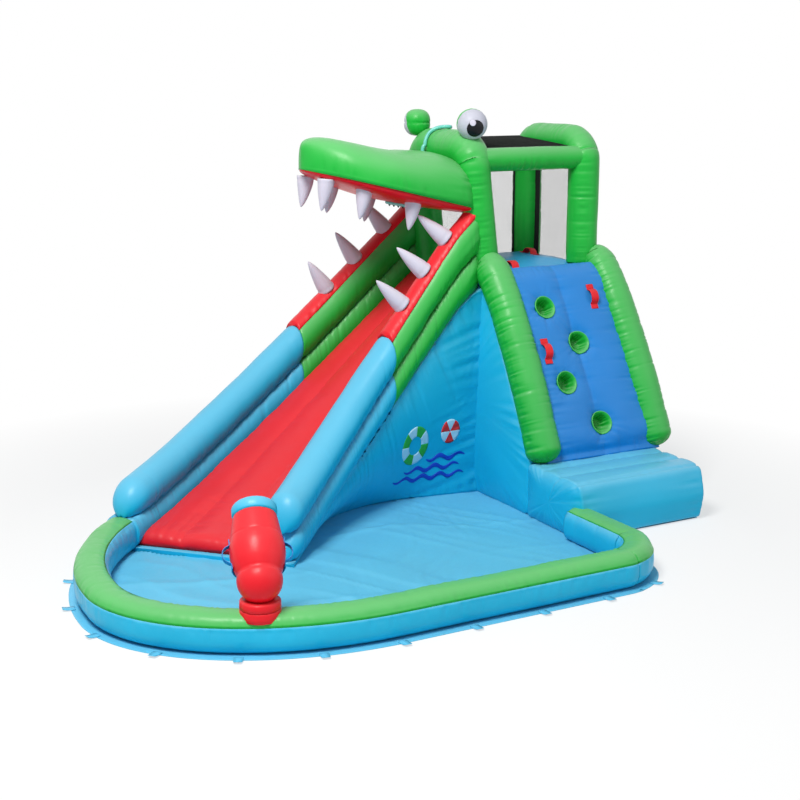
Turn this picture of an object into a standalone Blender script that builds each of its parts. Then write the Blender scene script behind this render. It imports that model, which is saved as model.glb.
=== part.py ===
"""Inflatable water slide with a splash pool, a climbing wall and an open-jawed head over the slide.

Metres, +Z up. The slide runs from the tower towards -X and bends towards -Y into the pool.
The construction frame has x = 0 on the tower's slide-side face and y = 0 on the slide's centre line there.
At the end the whole assembly is carried so that the middle of its footprint is the origin.
"""

import math

import bmesh
import bpy
import numpy as np
from mathutils import Matrix, Vector

# Fabric and clearances
clearance = 0.0005
running_gap = 0.0015
sheet_thickness = 0.004
cap_shares = (0.72, 0.40, 0.18, 0.05, 0.0)
overrun = 0.02

# Slide channel, measured along its centre line in plan
deck_height = 1.50
slide_lead = 0.21
slide_bend_radius = 2.75
slide_plan_length = 2.36
slide_end_height = 0.12
slide_power = 1.68
slide_lip_length = 0.085
channel_width_top = 0.785
channel_width_end = 1.01
bed_thickness = 0.09
bed_channel_depth = 0.012
bed_channels = 3
lobe_half_width = 0.115
wall_rise_top = 0.42
wall_rise_end = 0.29
wall_rise_power = 1.5
lobe_fullness = 1.4
lobe_end_round = 0.14
lobe_end_shares = (1.0, 0.65, 0.35, 0.12, 0.02)
near_green_share = 0.365
far_green_share = 0.385
panel_puff = 0.06
panel_setback = 0.19
panel_setback_top = 0.05

# Gum bands and lower teeth on the slide walls
gum_thickness = 0.022
gum_start_angle = math.radians(50)
gum_end_angle = math.radians(125)
tooth_length = 0.22
tooth_radius = 0.062
tooth_root = 0.015
near_teeth_shares = (0.107, 0.192, 0.282)
far_teeth_shares = (0.11, 0.195, 0.28)
near_tooth_lean = 0.32
far_tooth_lean = 0.0

# Splash pool
pool_wall_width = 0.20
pool_wall_height = 0.21
outer_border_height = 0.15
inner_border_height = 0.19
pool_corner_radius = 0.30
pool_front_reach = 0.74
pool_nose_length = 1.24
pool_side_radius = 1.45
hem_width = 0.03
tab_length = 0.045
tab_width = 0.05
tab_count = 11

# Tower, deck, climbing wall and landing mat
tower_depth = 0.935
tower_far_reach = 0.42
climb_top_reach = 0.47
climb_foot_reach = 1.05
mat_length = 0.56
mat_height = 0.36
mat_lobes = 3
mat_lobe_depth = 0.014
side_crown = 0.045
deck_thickness = 0.07
deck_crown = 0.05
edge_round = 0.05

# Tower frame tubes
post_radius = 0.105
forehead_radius = 0.125
beam_radius = 0.077
tower_centre_offset = -0.05
post_half_spacing = 0.34
front_foot_x = 0.045
front_top_x = -0.03
back_post_x = 0.835
front_arch_height = 2.295
rear_arch_height = 2.335
arch_bend_radius = 0.15
beam_height = 2.23
near_post_foot = 1.52
far_post_foot = 1.44

# Climbing wall
climb_tube_radius = 0.115
climb_left_top_x = 0.045
climb_left_foot_x = 0.085
climb_right_top_x = 0.905
climb_right_foot_x = 0.98
climb_tube_lift = 0.0585
climb_tube_top_round = 0.16
climb_tube_foot_round = 0.09
climb_panel_thickness = 0.11
climb_panel_crown = 0.035
pocket_radius = 0.075
pocket_wall = 0.010
pocket_sides = 14
pocket_columns_share = (0.23, 0.52)
pocket_rows_share = (0.235, 0.435, 0.64, 0.865)
lining_thickness = 0.012
handle_length = 0.17
handle_width = 0.055
handle_thickness = 0.008
handle_rise = 0.035
handle_foot = 0.035

# Head: upper jaw, palate, teeth, eyes
jaw_length = 1.07
jaw_root_x = -0.04
jaw_root_height = 1.92
jaw_pitch = math.radians(14.0)
jaw_half_width = 0.44
jaw_depth = 0.24
jaw_brow_depth = 0.045
jaw_nose_share = 0.62
palate_depth = 0.075
palate_inset = 0.012
upper_tooth_length = 0.20
upper_tooth_radius = 0.058
upper_tooth_sweep = 0.024
upper_teeth_shares = (0.40, 0.695, 0.905)
upper_tooth_spread_shares = (0.70, 0.63, 0.70)
near_eye_radius = 0.100
far_eye_radius = 0.090
near_eye_rise = 0.165
far_eye_rise = 0.157
eye_inset = 0.03
eye_forward = 0.007
far_eye_forward = 0.045
eye_face_angles = (74, 54, 34, 17, 4)
eye_back_angles = (176, 158, 134, 112, 92)
pupil_angles = (34, 17, 4)
pupil_skin = 0.004

# Nets
net_thickness = 0.006
net_bar = 0.014
net_border = 0.035

# Water supply
hose_radius = 0.0125
hose_coupling_swell = 1.7
hose_coupling_length = 0.05
hose_start_height = 0.16
hose_bow_height = 0.40
hose_port_x = -0.175
hose_port_y = 0.02
hose_sink = 0.006
spray_line_share = 0.36
spray_bar_length = 0.34
spray_bar_bend = 0.05
nozzle_count = 5
nozzle_radius = 0.008
nozzle_length = 0.010

# Air sleeve
sleeve_radius = 0.075
sleeve_length = 0.24
sleeve_height = 0.16
sleeve_place_share = 0.62

# Water cannon on the pool wall
cannon_angle = math.radians(57)
cannon_seat_low = 0.17
cannon_seat_height = 0.225
cannon_neck_radius = 0.105
cannon_neck_height = 0.045
cannon_neck_round = 0.012
cannon_lip_radius = 0.066
cannon_ball_radius = 0.115
cannon_dish_gap = 0.0014
cannon_ball_angle = math.radians(105)
cannon_body_radius = 0.14
cannon_body_reach = 0.17
cannon_muzzle_radius = 0.112
cannon_reach = 0.42
cannon_ring_length = 0.065
cannon_ring_swell = 1.04
cannon_bore_radius = 0.045
cannon_bore_depth = 0.26
cannon_pitch = math.radians(42)
cannon_heading = math.radians(71)
grip_start = 0.06
grip_length = 0.17
grip_rise = 0.04
strap_width = 0.032
strap_thickness = 0.005


def clear_scene():
    for obj in list(bpy.data.objects):
        bpy.data.objects.remove(obj)


def collection(name):
    made = bpy.data.collections.new(name)
    bpy.context.scene.collection.children.link(made)
    return made


clear_scene()
parts = collection("inflatable_water_slide")
cutters = collection("cutters")

# Each trimmed piece's shape before its first trim, which its neighbours are trimmed by
whole_shapes = {}


def material(name, colour, roughness, metallic=0.0):
    made = bpy.data.materials.new(name)
    made.use_nodes = True
    shader = made.node_tree.nodes["Principled BSDF"]
    shader.inputs["Base Color"].default_value = (*colour, 1.0)
    shader.inputs["Roughness"].default_value = roughness
    shader.inputs["Metallic"].default_value = metallic
    made.diffuse_color = (*colour, 1.0)
    return made


green = material("green_fabric", (0.03, 0.48, 0.06), 0.45)
light_blue = material("light_blue_fabric", (0.02, 0.36, 0.66), 0.45)
royal_blue = material("royal_blue_fabric", (0.012, 0.20, 0.66), 0.45)
red = material("red_fabric", (0.85, 0.01, 0.02), 0.42)
white = material("white_fabric", (0.78, 0.74, 0.82), 0.5)
black = material("black_fabric", (0.005, 0.005, 0.006), 0.5)
net_black = material("black_net", (0.008, 0.010, 0.009), 0.7)
hose_green = material("supply_hose", (0.03, 0.33, 0.30), 0.4)
grey = material("grey_plastic", (0.25, 0.26, 0.28), 0.4)


# Modelling helpers


def finish(obj, name, finish_material, smooth=40.0):
    """Name the piece, give it its finish and shade its round parts smooth."""
    obj.name = name
    obj.data.name = name
    obj.data.materials.clear()
    obj.data.materials.append(finish_material)
    obj.data.shade_smooth()
    obj.data.set_sharp_from_angle(angle=math.radians(smooth))
    return obj


def object_of(name, bm, finish_material):
    bmesh.ops.recalc_face_normals(bm, faces=bm.faces)
    mesh = bpy.data.meshes.new(name)
    bm.to_mesh(mesh)
    bm.free()
    obj = bpy.data.objects.new(name, mesh)
    parts.objects.link(obj)
    return finish(obj, name, finish_material)


def apply_modifiers(obj):
    graph = bpy.context.evaluated_depsgraph_get()
    mesh = bpy.data.meshes.new_from_object(obj.evaluated_get(graph))
    old = obj.data
    obj.modifiers.clear()
    obj.data = mesh
    mesh.name = obj.name
    bpy.data.meshes.remove(old)
    return obj


def skin(bm, loops):
    """Faces between rings of equally many points, split so that two matching skins agree."""
    for first, second in zip(loops, loops[1:]):
        for i in range(len(first)):
            j = (i + 1) % len(first)
            a, b, c, d = first[i], first[j], second[j], second[i]
            if a.co.x + c.co.x <= b.co.x + d.co.x:
                bm.faces.new((a, b, c))
                bm.faces.new((a, c, d))
            else:
                bm.faces.new((a, b, d))
                bm.faces.new((b, c, d))


def loft(name, rings, finish_material, closed=False):
    """A closed skin through rings of equally many points, capped at both ends or run back to its start."""
    bm = bmesh.new()
    loops = [[bm.verts.new(point) for point in ring] for ring in rings]
    if closed:
        skin(bm, loops + loops[:1])
    else:
        skin(bm, loops)
        bm.faces.new(loops[0])
        bm.faces.new(loops[-1])
    return object_of(name, bm, finish_material)


def tube(name, route, radius, finish_material, round_ends=(0.0, 0.0), swells=None, resolution=2):
    """A tube along a route. A rounded end shrinks over the length given for it.

    swells holds the share of the radius at each point of the route.
    """
    points = [Vector(point) for point in route]
    swells = swells or [1.0] * len(points)
    lengths = np.concatenate([[0.0], np.cumsum([(b - a).length for a, b in zip(points, points[1:])])])
    total = lengths[-1]
    stops = list(lengths)
    for k, reach in enumerate(round_ends):
        if reach:
            along = [reach * share for share in (0.03, 0.15, 0.35, 0.65, 1.0)]
            stops += [total - step for step in along] if k else along
    stops = sorted(stop for stop in set(stops) if 0.0 <= stop <= total)
    curve = bpy.data.curves.new(name, "CURVE")
    curve.dimensions = "3D"
    curve.bevel_depth = radius
    curve.bevel_resolution = resolution
    curve.use_fill_caps = True
    spline = curve.splines.new("POLY")
    spline.points.add(len(stops) - 1)
    for point, stop in zip(spline.points, stops):
        k = min(int(np.searchsorted(lengths, stop, side="right")) - 1, len(points) - 2)
        share = (stop - lengths[k]) / (lengths[k + 1] - lengths[k])
        point.co = (*points[k].lerp(points[k + 1], share), 1.0)
        swell = swells[k] + (swells[k + 1] - swells[k]) * share
        point.radius = swell * end_swell(stop, total, round_ends)
    obj = bpy.data.objects.new(name, curve)
    parts.objects.link(obj)
    return finish(to_mesh(obj), name, finish_material)


def end_swell(stop, total, round_ends):
    """Share of the full radius at a stop on a tube whose ends close like a ball."""
    swell = 1.0
    for reach, distance in zip(round_ends, (stop, total - stop)):
        if reach and distance < reach:
            swell = min(swell, max(math.sqrt(1 - (1 - distance / reach) ** 2), 0.12))
    return swell


def to_mesh(obj):
    """Turn a curve object into a mesh object with welded caps."""
    graph = bpy.context.evaluated_depsgraph_get()
    mesh = bpy.data.meshes.new_from_object(obj.evaluated_get(graph))
    bm = bmesh.new()
    bm.from_mesh(mesh)
    bmesh.ops.remove_doubles(bm, verts=bm.verts, dist=clearance / 10)
    bmesh.ops.triangulate(bm, faces=bm.faces)
    bmesh.ops.recalc_face_normals(bm, faces=bm.faces)
    bm.to_mesh(mesh)
    bm.free()
    made = bpy.data.objects.new(obj.name, mesh)
    made.matrix_world = obj.matrix_world
    parts.objects.link(made)
    bpy.data.objects.remove(obj)
    return made


def flat_sheet(name, outline, bottom, thickness, finish_material):
    """A flat sheet cut to an outline."""
    curve = bpy.data.curves.new(name, "CURVE")
    curve.dimensions = "2D"
    curve.fill_mode = "BOTH"
    curve.extrude = thickness / 2
    spline = curve.splines.new("POLY")
    spline.points.add(len(outline) - 1)
    for point, (x, y) in zip(spline.points, outline):
        point.co = (x, y, 0.0, 1.0)
    spline.use_cyclic_u = True
    obj = bpy.data.objects.new(name, curve)
    obj.location.z = bottom + thickness / 2
    parts.objects.link(obj)
    bpy.context.view_layer.update()
    made = to_mesh(obj)
    made.data.transform(made.matrix_world)
    made.matrix_world = Matrix()
    return finish(made, name, finish_material)


def block(name, low, high, finish_material=None):
    """A square-edged box between two corners."""
    bm = bmesh.new()
    bmesh.ops.create_cube(bm, size=1.0)
    low, high = Vector(low), Vector(high)
    for vert in bm.verts:
        vert.co = [a + (b - a) * (c + 0.5) for a, b, c in zip(low, high, vert.co)]
    return object_of(name, bm, finish_material or grey)


def cylinder(name, start, end, start_radius, end_radius, sides, finish_material=None):
    """A straight round piece between two points."""
    bm = bmesh.new()
    start, end = Vector(start), Vector(end)
    bmesh.ops.create_cone(
        bm,
        cap_ends=True,
        segments=sides,
        radius1=start_radius,
        radius2=end_radius,
        depth=(end - start).length,
        matrix=Matrix.Translation((start + end) / 2) @ (end - start).to_track_quat("Z", "X").to_matrix().to_4x4(),
    )
    return object_of(name, bm, finish_material or grey)


def boolean(piece, other, operation):
    modifier = piece.modifiers.new(operation, "BOOLEAN")
    modifier.operation = operation
    modifier.object = other
    apply_modifiers(piece)


def cut(piece, cutter):
    """Cut a helper shape out of a piece."""
    parts.objects.unlink(cutter)
    cutters.objects.link(cutter)
    boolean(piece, cutter, "DIFFERENCE")
    bpy.data.objects.remove(cutter)
    return piece


def join(piece, other):
    boolean(piece, other, "UNION")
    bpy.data.objects.remove(other)
    return piece


def keep_largest(piece):
    """Drop the offcuts that a trim leaves beside the piece."""
    bm = bmesh.new()
    bm.from_mesh(piece.data)
    islands = []
    seen = set()
    for start in bm.verts:
        if start in seen:
            continue
        island = []
        waiting = [start]
        seen.add(start)
        while waiting:
            vert = waiting.pop()
            island.append(vert)
            for edge in vert.link_edges:
                other = edge.other_vert(vert)
                if other not in seen:
                    seen.add(other)
                    waiting.append(other)
        islands.append(island)
    islands.sort(key=len)
    offcuts = [vert for island in islands[:-1] for vert in island]
    bmesh.ops.delete(bm, geom=offcuts, context="VERTS")
    bm.to_mesh(piece.data)
    bm.free()


def fit_around(piece, *neighbours):
    """Shape a piece to the neighbours that it presses on, a clearance away from their skins."""
    whole_shapes.setdefault(piece.name, piece.data.copy())
    for neighbour in neighbours:
        shape = whole_shapes.get(neighbour.name, neighbour.data)
        cutter = bpy.data.objects.new(neighbour.name + "_cutter", shape.copy())
        cutter.matrix_world = neighbour.matrix_world
        cutters.objects.link(cutter)
        cutter.hide_render = True
        cutter.display_type = "WIRE"
        swell = cutter.modifiers.new("clearance", "DISPLACE")
        swell.strength = clearance
        swell.mid_level = 0.0
        boolean(piece, cutter, "DIFFERENCE")
        bpy.data.objects.remove(cutter)
    keep_largest(piece)
    return piece


def inset_ring(points, share):
    """The points drawn towards their middle by a share of the way."""
    middle = sum((Vector(point) for point in points), Vector()) / len(points)
    return [Vector(point).lerp(middle, share) for point in points]


def puffed_prism(name, profile, start, end, crown_start, crown_end, finish_material):
    """A profile in the YZ plane carried along X, with crowned end faces like an inflated panel's."""
    def ring(x, share):
        return inset_ring([(x, y, z) for y, z in profile], share)

    rings = [ring(start - crown_start * crown_of(share), share) for share in cap_shares]
    rings += [ring(end + crown_end * crown_of(share), share) for share in reversed(cap_shares)]
    return loft(name, rings, finish_material)


def crown_of(share):
    """How far a crowned face stands out at a share of the way from its rim to its middle."""
    return 1 - (1 - min(share / cap_shares[0], 1.0)) ** 2.2


# Slide stations: everything on the slide is placed by its distance along the centre line


def slide_centre(distance):
    """Plan position of the centre line and its sideways direction towards the near wall."""
    turn = max(distance - slide_lead, 0.0) / slide_bend_radius
    x = -min(distance, slide_lead) - slide_bend_radius * math.sin(turn)
    y = -slide_bend_radius * (1 - math.cos(turn))
    return Vector((x, y, 0)), Vector((math.sin(turn), -math.cos(turn), 0))


def bed_height(distance):
    """Level where the slide leaves the deck, then steep, then flattening out into the pool."""
    distance = max(distance, 0.0)
    run = distance - slide_lip_length * (1 - math.exp(-distance / slide_lip_length))
    share = min(run / (slide_plan_length - slide_lip_length), 1.0)
    return slide_end_height + (deck_height - slide_end_height) * (1 - share) ** slide_power


def body_height(distance):
    return bed_height(distance) - bed_thickness


def channel_half(distance):
    share = distance / slide_plan_length
    return (channel_width_top + (channel_width_end - channel_width_top) * share) / 2


def wall_rise(distance):
    """Height of the wall's crown over the bed."""
    share = min(max(distance / slide_plan_length, 0.0), 1.0)
    return wall_rise_end + (wall_rise_top - wall_rise_end) * (1 - share) ** wall_rise_power


def lobe_half_height(distance):
    """Half the height from the seam under a lobe to the seam over it."""
    return (wall_rise(distance) + bed_thickness) / (3 + lobe_fullness)


def lobe_centre(distance, side, level):
    """Middle of a wall lobe. side is +1 near, -1 far; level is 0 for the lower lobe, 1 for the upper."""
    centre, across = slide_centre(distance)
    height = body_height(distance) + lobe_half_height(distance) * (1 + 2 * level)
    return centre + across * side * channel_half(distance) + Vector((0, 0, height)), across * side


def stations(start, end, step):
    count = max(int(math.ceil((end - start) / step)), 1)
    return [start + (end - start) * i / count for i in range(count + 1)]


slide_step = slide_plan_length / 16


def slide_marks(start, end):
    """Stations shared by the bed, the body and the wall tubes, so that their flat joints agree."""
    round_marks = [slide_plan_length - lobe_end_round * share for share in lobe_end_shares]
    borders = [0.0, slide_plan_length * near_green_share, slide_plan_length * far_green_share, round_marks[0]]
    common = [0.0]
    for low, high in zip(borders, borders[1:]):
        common += stations(low, high, slide_step)[1:]
    common += round_marks[1:]
    least = clearance * 4
    inside = [mark for mark in common if start + least < mark < end - least]
    return [start] + inside + [end]


# Ground sheet outline and pool wall route


def arc(centre, radii, start_angle, end_angle, count):
    return [
        Vector((centre[0] + radii[0] * math.cos(a), centre[1] + radii[1] * math.sin(a), 0))
        for a in np.linspace(start_angle, end_angle, count)
    ]


def far_wall_end():
    """Where the far slide wall ends and the pool wall takes over, with the direction down the slide."""
    centre, across = slide_centre(slide_plan_length)
    return centre - across * channel_half(slide_plan_length), Vector((across.y, -across.x, 0))


def pool_nose_centre():
    """Middle of the quarter ellipse that rounds the pool's end, and its half height."""
    end, along = far_wall_end()
    lean = math.atan2(-along.x, -along.y)
    left = end.x - pool_side_radius * (1 - math.cos(lean))
    low = end.y - pool_side_radius * math.sin(lean)
    return left + pool_nose_length, low, lean


def pool_front_y():
    return -(climb_foot_reach + mat_length + pool_front_reach)


def pool_route():
    """Centre line of the pool wall, from the landing mat round to the far slide wall."""
    nose_x, nose_y, lean = pool_nose_centre()
    front = pool_front_y()
    half_turn = math.pi / 2
    corner = (-pool_corner_radius, front + pool_corner_radius)
    side = (nose_x - pool_nose_length + pool_side_radius, nose_y)
    route = [Vector((0, -(climb_foot_reach + mat_length) + overrun * 2, 0))]
    route += arc(corner, (pool_corner_radius, pool_corner_radius), 0, -half_turn, 6)
    route += [Vector((nose_x * share, front, 0)) for share in (0.5, 0.8)]
    route += arc((nose_x, nose_y), (pool_nose_length, nose_y - front), -half_turn, -math.pi, 13)
    route += arc(side, (pool_side_radius, pool_side_radius), math.pi, math.pi - lean, 6)[1:]
    return route


def sideways(route):
    """Unit normals on the outer side of a plan route that runs clockwise round the pool."""
    normals = []
    for i in range(len(route)):
        before = route[max(i - 1, 0)]
        after = route[min(i + 1, len(route) - 1)]
        along = (after - before).normalized()
        normals.append(Vector((-along.y, along.x, 0)))
    return normals


def offset_route(route, distance):
    return [point + normal * distance for point, normal in zip(route, sideways(route))]


def wall_section(start_height_outer, start_height_inner, upper):
    """Half section of the pool wall tube as sideways and height pairs, below or above its colour border."""
    half = pool_wall_width / 2
    middle = pool_wall_height / 2
    fullness = 0.72

    def on_tube(angle):
        x = half * math.copysign(abs(math.cos(angle)) ** fullness, math.cos(angle))
        z = middle * math.copysign(abs(math.sin(angle)) ** fullness, math.sin(angle))
        return x, middle + z

    def angle_at(height):
        return math.asin(min(((height - middle) / middle) ** (1 / fullness), 1.0))

    outer = angle_at(start_height_outer)
    inner = math.pi - angle_at(start_height_inner)
    if upper:
        angles = np.linspace(outer, inner, 6)
    else:
        angles = np.linspace(inner, outer + 2 * math.pi, 10)
    floor = sheet_thickness + clearance
    return [(x, max(z, floor)) for x, z in map(on_tube, angles)]


def sweep_section(name, route, section, finish_material):
    """Carry a section of sideways and height pairs along a plan route."""
    normals = sideways(route)
    rings = [
        [point + normal * x + Vector((0, 0, z)) for x, z in section]
        for point, normal in zip(route, normals)
    ]
    return loft(name, rings, finish_material)


# Ground sheet with its hem and peg tabs


def ground_outline():
    """The footprint of everything, with a hem round it."""
    wall_half = pool_wall_width / 2 + hem_width
    pool = offset_route(pool_route(), wall_half)
    mat_front = -(climb_foot_reach + mat_length) - hem_width
    far = tower_far_reach + hem_width
    far_side = []
    for distance in stations(0.0, slide_plan_length * 0.98, slide_plan_length / 8)[::-1]:
        centre, across = slide_centre(distance)
        reach = channel_half(distance) + lobe_half_width + hem_width
        point = centre - across * reach
        far_side.append(Vector((point.x, max(point.y, far if distance == 0.0 else point.y), 0)))
    right = tower_depth + side_crown + hem_width
    start = pool[0]
    outline = [Vector((start.x, mat_front, 0))] + [p for p in pool[1:]] + far_side
    outline += [Vector((0, far, 0)), Vector((right, far, 0)), Vector((right, mat_front, 0))]
    return [(p.x, p.y) for p in outline]


def make_base_sheet():
    sheet = flat_sheet("base_sheet", ground_outline(), 0.0, sheet_thickness, light_blue)
    route = pool_route()
    hem = offset_route(route, pool_wall_width / 2 + hem_width)
    spans = [0.0]
    for a, b in zip(hem, hem[1:]):
        spans.append(spans[-1] + (b - a).length)
    for k in range(tab_count):
        place = spans[-1] * (0.16 + 0.74 * k / (tab_count - 1))
        i = min(int(np.searchsorted(spans, place)) - 1, len(hem) - 2)
        along = (hem[i + 1] - hem[i]).normalized()
        middle = hem[i] + along * (place - spans[i])
        out = Vector((-along.y, along.x, 0))
        corners = [
            middle + along * tab_width / 2 * a + out * (tab_length * b)
            for a, b in ((-1, -0.5), (-1, 1), (1, 1), (1, -0.5))
        ]
        tab = flat_sheet("tab", [(c.x, c.y) for c in corners], 0.0, sheet_thickness * 0.75, light_blue)
        join(sheet, tab)
    return finish(sheet, "base_sheet", light_blue)


# Slide: body with puffed side panels, red bed, wall lobes, gum bands


def lobe_outline(distance, level):
    """Points round a wall lobe as outward reach and height, flat where it rests on its neighbours."""
    half = lobe_half_height(distance)
    ceiling = half if level == 0 else half * lobe_fullness
    outline = []
    for angle in np.linspace(0, 2 * math.pi, 16, endpoint=False):
        tall = min(max(half * lobe_fullness * math.sin(angle), -half), ceiling)
        outline.append((lobe_half_width * math.cos(angle), tall))
    return outline


def lobe_seats(distance):
    """Outward reaches of the points on the flat underside of a lobe."""
    outline = lobe_outline(distance, 0)
    low = -lobe_half_height(distance) * 0.98
    return sorted(reach for reach, tall in outline if tall < low)


def lobe_inner_side(distance):
    """Reach and height of the lobe's corners that face the bed, from its underside up."""
    outline = lobe_outline(distance, 0)
    half = lobe_half_height(distance)
    return sorted((tall + half, -reach) for reach, tall in outline if reach < -lobe_half_width / 2)


def panel_side(distance, side):
    """Points up a side panel from the ground to the wall's underside, as outward reach and height."""
    top = body_height(distance)
    share = distance / slide_plan_length
    reach = channel_half(distance) + lobe_seats(distance)[-1]
    setback = 0.0
    if side > 0:
        setback = panel_setback_top + panel_setback * math.sin(math.pi * min(share / 0.95, 1.0)) ** 1.5
        setback *= min((1 - share) * 4, 1.0)
    puff = min(panel_puff, top * 0.16) * math.sin(math.pi * min(max(share, 0.0) * 0.85 + 0.15, 1.0))
    floor = sheet_thickness + clearance
    rows = []
    for k in range(6):
        up = k / 5
        out = reach - setback * (1 - up) ** 1.3 + puff * math.sin(math.pi * up)
        rows.append((side * out, floor + (top - floor) * up))
    return rows


def make_slide_body():
    rings = []
    for distance in [-side_crown] + slide_marks(0.0, slide_plan_length):
        centre, across = slide_centre(max(distance, 0.0))
        centre.x -= min(distance, 0.0)
        place = max(distance, 0.0)
        near = panel_side(place, 1)
        far = panel_side(place, -1)
        seats = [channel_half(place) + reach for reach in lobe_seats(place)[:-1]]
        top = [(reach, body_height(place)) for reach in seats[::-1]]
        top += [(-reach, body_height(place)) for reach in seats]
        rings.append([centre + across * x + Vector((0, 0, z)) for x, z in near + top + far[::-1]])
    return loft("slide_body", rings, light_blue)


def make_slide_bed():
    rings = []
    points = bed_channels * 4
    for distance in slide_marks(0.0, slide_plan_length * 0.985):
        centre, across = slide_centre(distance)
        bottom = body_height(distance)
        corners = lobe_inner_side(distance)
        heights = [corners[0][0] + clearance, corners[1][0], bed_thickness]
        reaches = np.interp(heights, [tall for tall, _ in corners], [reach for _, reach in corners])
        side = [(channel_half(distance) - reach - running_gap, bottom + z) for reach, z in zip(reaches, heights)]
        half = side[-1][0]
        section = [(-side[0][0], side[0][1])] + side
        for k in range(1, points + 1):
            x = half - 2 * half * k / points
            dip = bed_channel_depth * (1 - abs(math.sin(math.pi * bed_channels * k / points)) ** 0.6)
            section.append((x, bed_height(distance) - dip))
        section.append((-side[1][0], side[1][1]))
        rings.append([centre + across * x + Vector((0, 0, z)) for x, z in section])
    return loft("slide_bed", rings, red)


def lobe_ring(distance, side, level, swell=1.0):
    """Section of a wall lobe. A swell under one draws the section in towards its seat."""
    middle, out = lobe_centre(distance, side, level)
    floor = -lobe_half_height(distance)
    return [
        middle + out * (reach * swell) + Vector((0, 0, floor + clearance + (tall - floor - clearance) * swell))
        for reach, tall in ((r, max(t, floor + clearance)) for r, t in lobe_outline(distance, level))
    ]


def make_lobe(name, side, level, start, end, finish_material, rounded):
    rings = []
    for mark in slide_marks(start, end):
        left = (end - mark) / lobe_end_round
        if not rounded or left >= 1:
            rings.append(lobe_ring(mark, side, level))
        elif left > lobe_end_shares[-1] / 2:
            rings.append(lobe_ring(mark, side, level, math.sqrt(1 - (1 - left) ** 2)))
    return loft(name, rings, finish_material)


def make_slide_walls():
    walls = {}
    for side, side_name, share in ((1, "near", near_green_share), (-1, "far", far_green_share)):
        border = slide_plan_length * share
        for level, level_name in ((0, "lower"), (1, "upper")):
            stem = f"{side_name}_{level_name}_tube_"
            rounded = side > 0 or level == 1
            end = slide_plan_length
            walls[stem + "green"] = make_lobe(
                stem + "green", side, level, -overrun, border - clearance, green, False
            )
            walls[stem + "blue"] = make_lobe(stem + "blue", side, level, border, end, light_blue, rounded)
    return walls


def gum_ring(distance, side):
    middle, out = lobe_centre(distance, side, 1)
    tall = lobe_half_height(distance) * lobe_fullness
    angles = np.linspace(gum_start_angle, gum_end_angle, 5)
    inner = []
    outer = []
    for k, angle in enumerate(angles):
        body = math.sin(math.pi * k / (len(angles) - 1)) * 0.75 + 0.25
        for row, grow in ((inner, -overrun / 2), (outer, gum_thickness * body)):
            x = (lobe_half_width + grow) * math.cos(angle)
            z = (tall + grow) * math.sin(angle)
            row.append(middle + out * x + Vector((0, 0, z)))
    return inner + outer[::-1]


def make_gum(name, side, share, wall):
    border = slide_plan_length * share
    rings = [gum_ring(mark, side) for mark in slide_marks(-overrun, border)]
    return fit_around(loft(name, rings, red), wall)


# Teeth


def tooth(name, root, direction, bend, length, radius, sides=10):
    """A hollow-looking fabric fang: a cone whose axis bends as it narrows."""
    direction = Vector(direction).normalized()
    bend = Vector(bend)
    across = direction.orthogonal().normalized()
    other = direction.cross(across)
    rings = []
    for share in (0.0, 0.3, 0.6, 0.85, 0.97):
        middle = root + direction * (length * share) + bend * share**2
        width = radius * (1 - share) ** 0.62
        rings.append(
            [
                middle + across * width * math.cos(a) + other * width * math.sin(a)
                for a in np.linspace(0, 2 * math.pi, sides, endpoint=False)
            ]
        )
    return loft(name, rings, white)


def make_lower_teeth(gums, walls):
    teeth = []
    for side, side_name, shares, lean in (
        (1, "near", near_teeth_shares, near_tooth_lean),
        (-1, "far", far_teeth_shares, far_tooth_lean),
    ):
        wall = walls[side_name + "_upper_tube_green"]
        for k, share in enumerate(shares):
            distance = slide_plan_length * share
            middle, out = lobe_centre(distance, side, 1)
            ahead, _ = lobe_centre(distance + slide_step, side, 1)
            down = (ahead - middle).normalized()
            level = math.hypot(down.x, down.y)
            square = Vector((down.x, down.y, 0)) / level * -down.z + Vector((0, 0, level))
            direction = (square - out * lean).normalized()
            crown = middle + Vector((0, 0, lobe_half_height(distance) * lobe_fullness))
            root = crown + direction * (gum_thickness - tooth_root)
            name = f"{side_name}_lower_tooth_{k + 1}"
            fang = tooth(name, root, direction, square * (tooth_radius / 2), tooth_length, tooth_radius)
            teeth.append(fit_around(fang, gums[side], wall))
    return teeth


# Pool


def make_pool(mat):
    route = pool_route()
    along = (route[-1] - route[-2]).normalized()
    route[-1] = route[-1] - along * clearance
    band = wall_section(outer_border_height + clearance, inner_border_height + clearance, True)
    wall = wall_section(outer_border_height, inner_border_height, False)
    pool_wall = sweep_section("pool_wall", route, wall, light_blue)
    rim = sweep_section("pool_rim_band", route, band, green)
    fit_around(pool_wall, mat)
    fit_around(rim, mat)
    return pool_wall, rim


# Tower block, deck, landing mat


def climb_line():
    """Foot and top of the climbing slope as reach and height pairs."""
    foot = Vector((0, -climb_foot_reach, mat_height))
    top = Vector((0, -climb_top_reach, deck_height - deck_thickness))
    return foot, top


def make_tower_base():
    floor = sheet_thickness + clearance
    top = deck_height - deck_thickness
    foot, head = climb_line()
    profile = [(tower_far_reach, floor), (tower_far_reach, top * 0.5), (tower_far_reach, top)]
    profile += [(head.y, top)]
    profile += [(head.lerp(foot, share).y, head.lerp(foot, share).z) for share in (0.33, 0.66, 1.0)]
    profile += [(foot.y, mat_height * 0.5), (foot.y, floor)]
    return puffed_prism("tower_base", profile, 0.0, tower_depth, side_crown, side_crown, light_blue)


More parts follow.
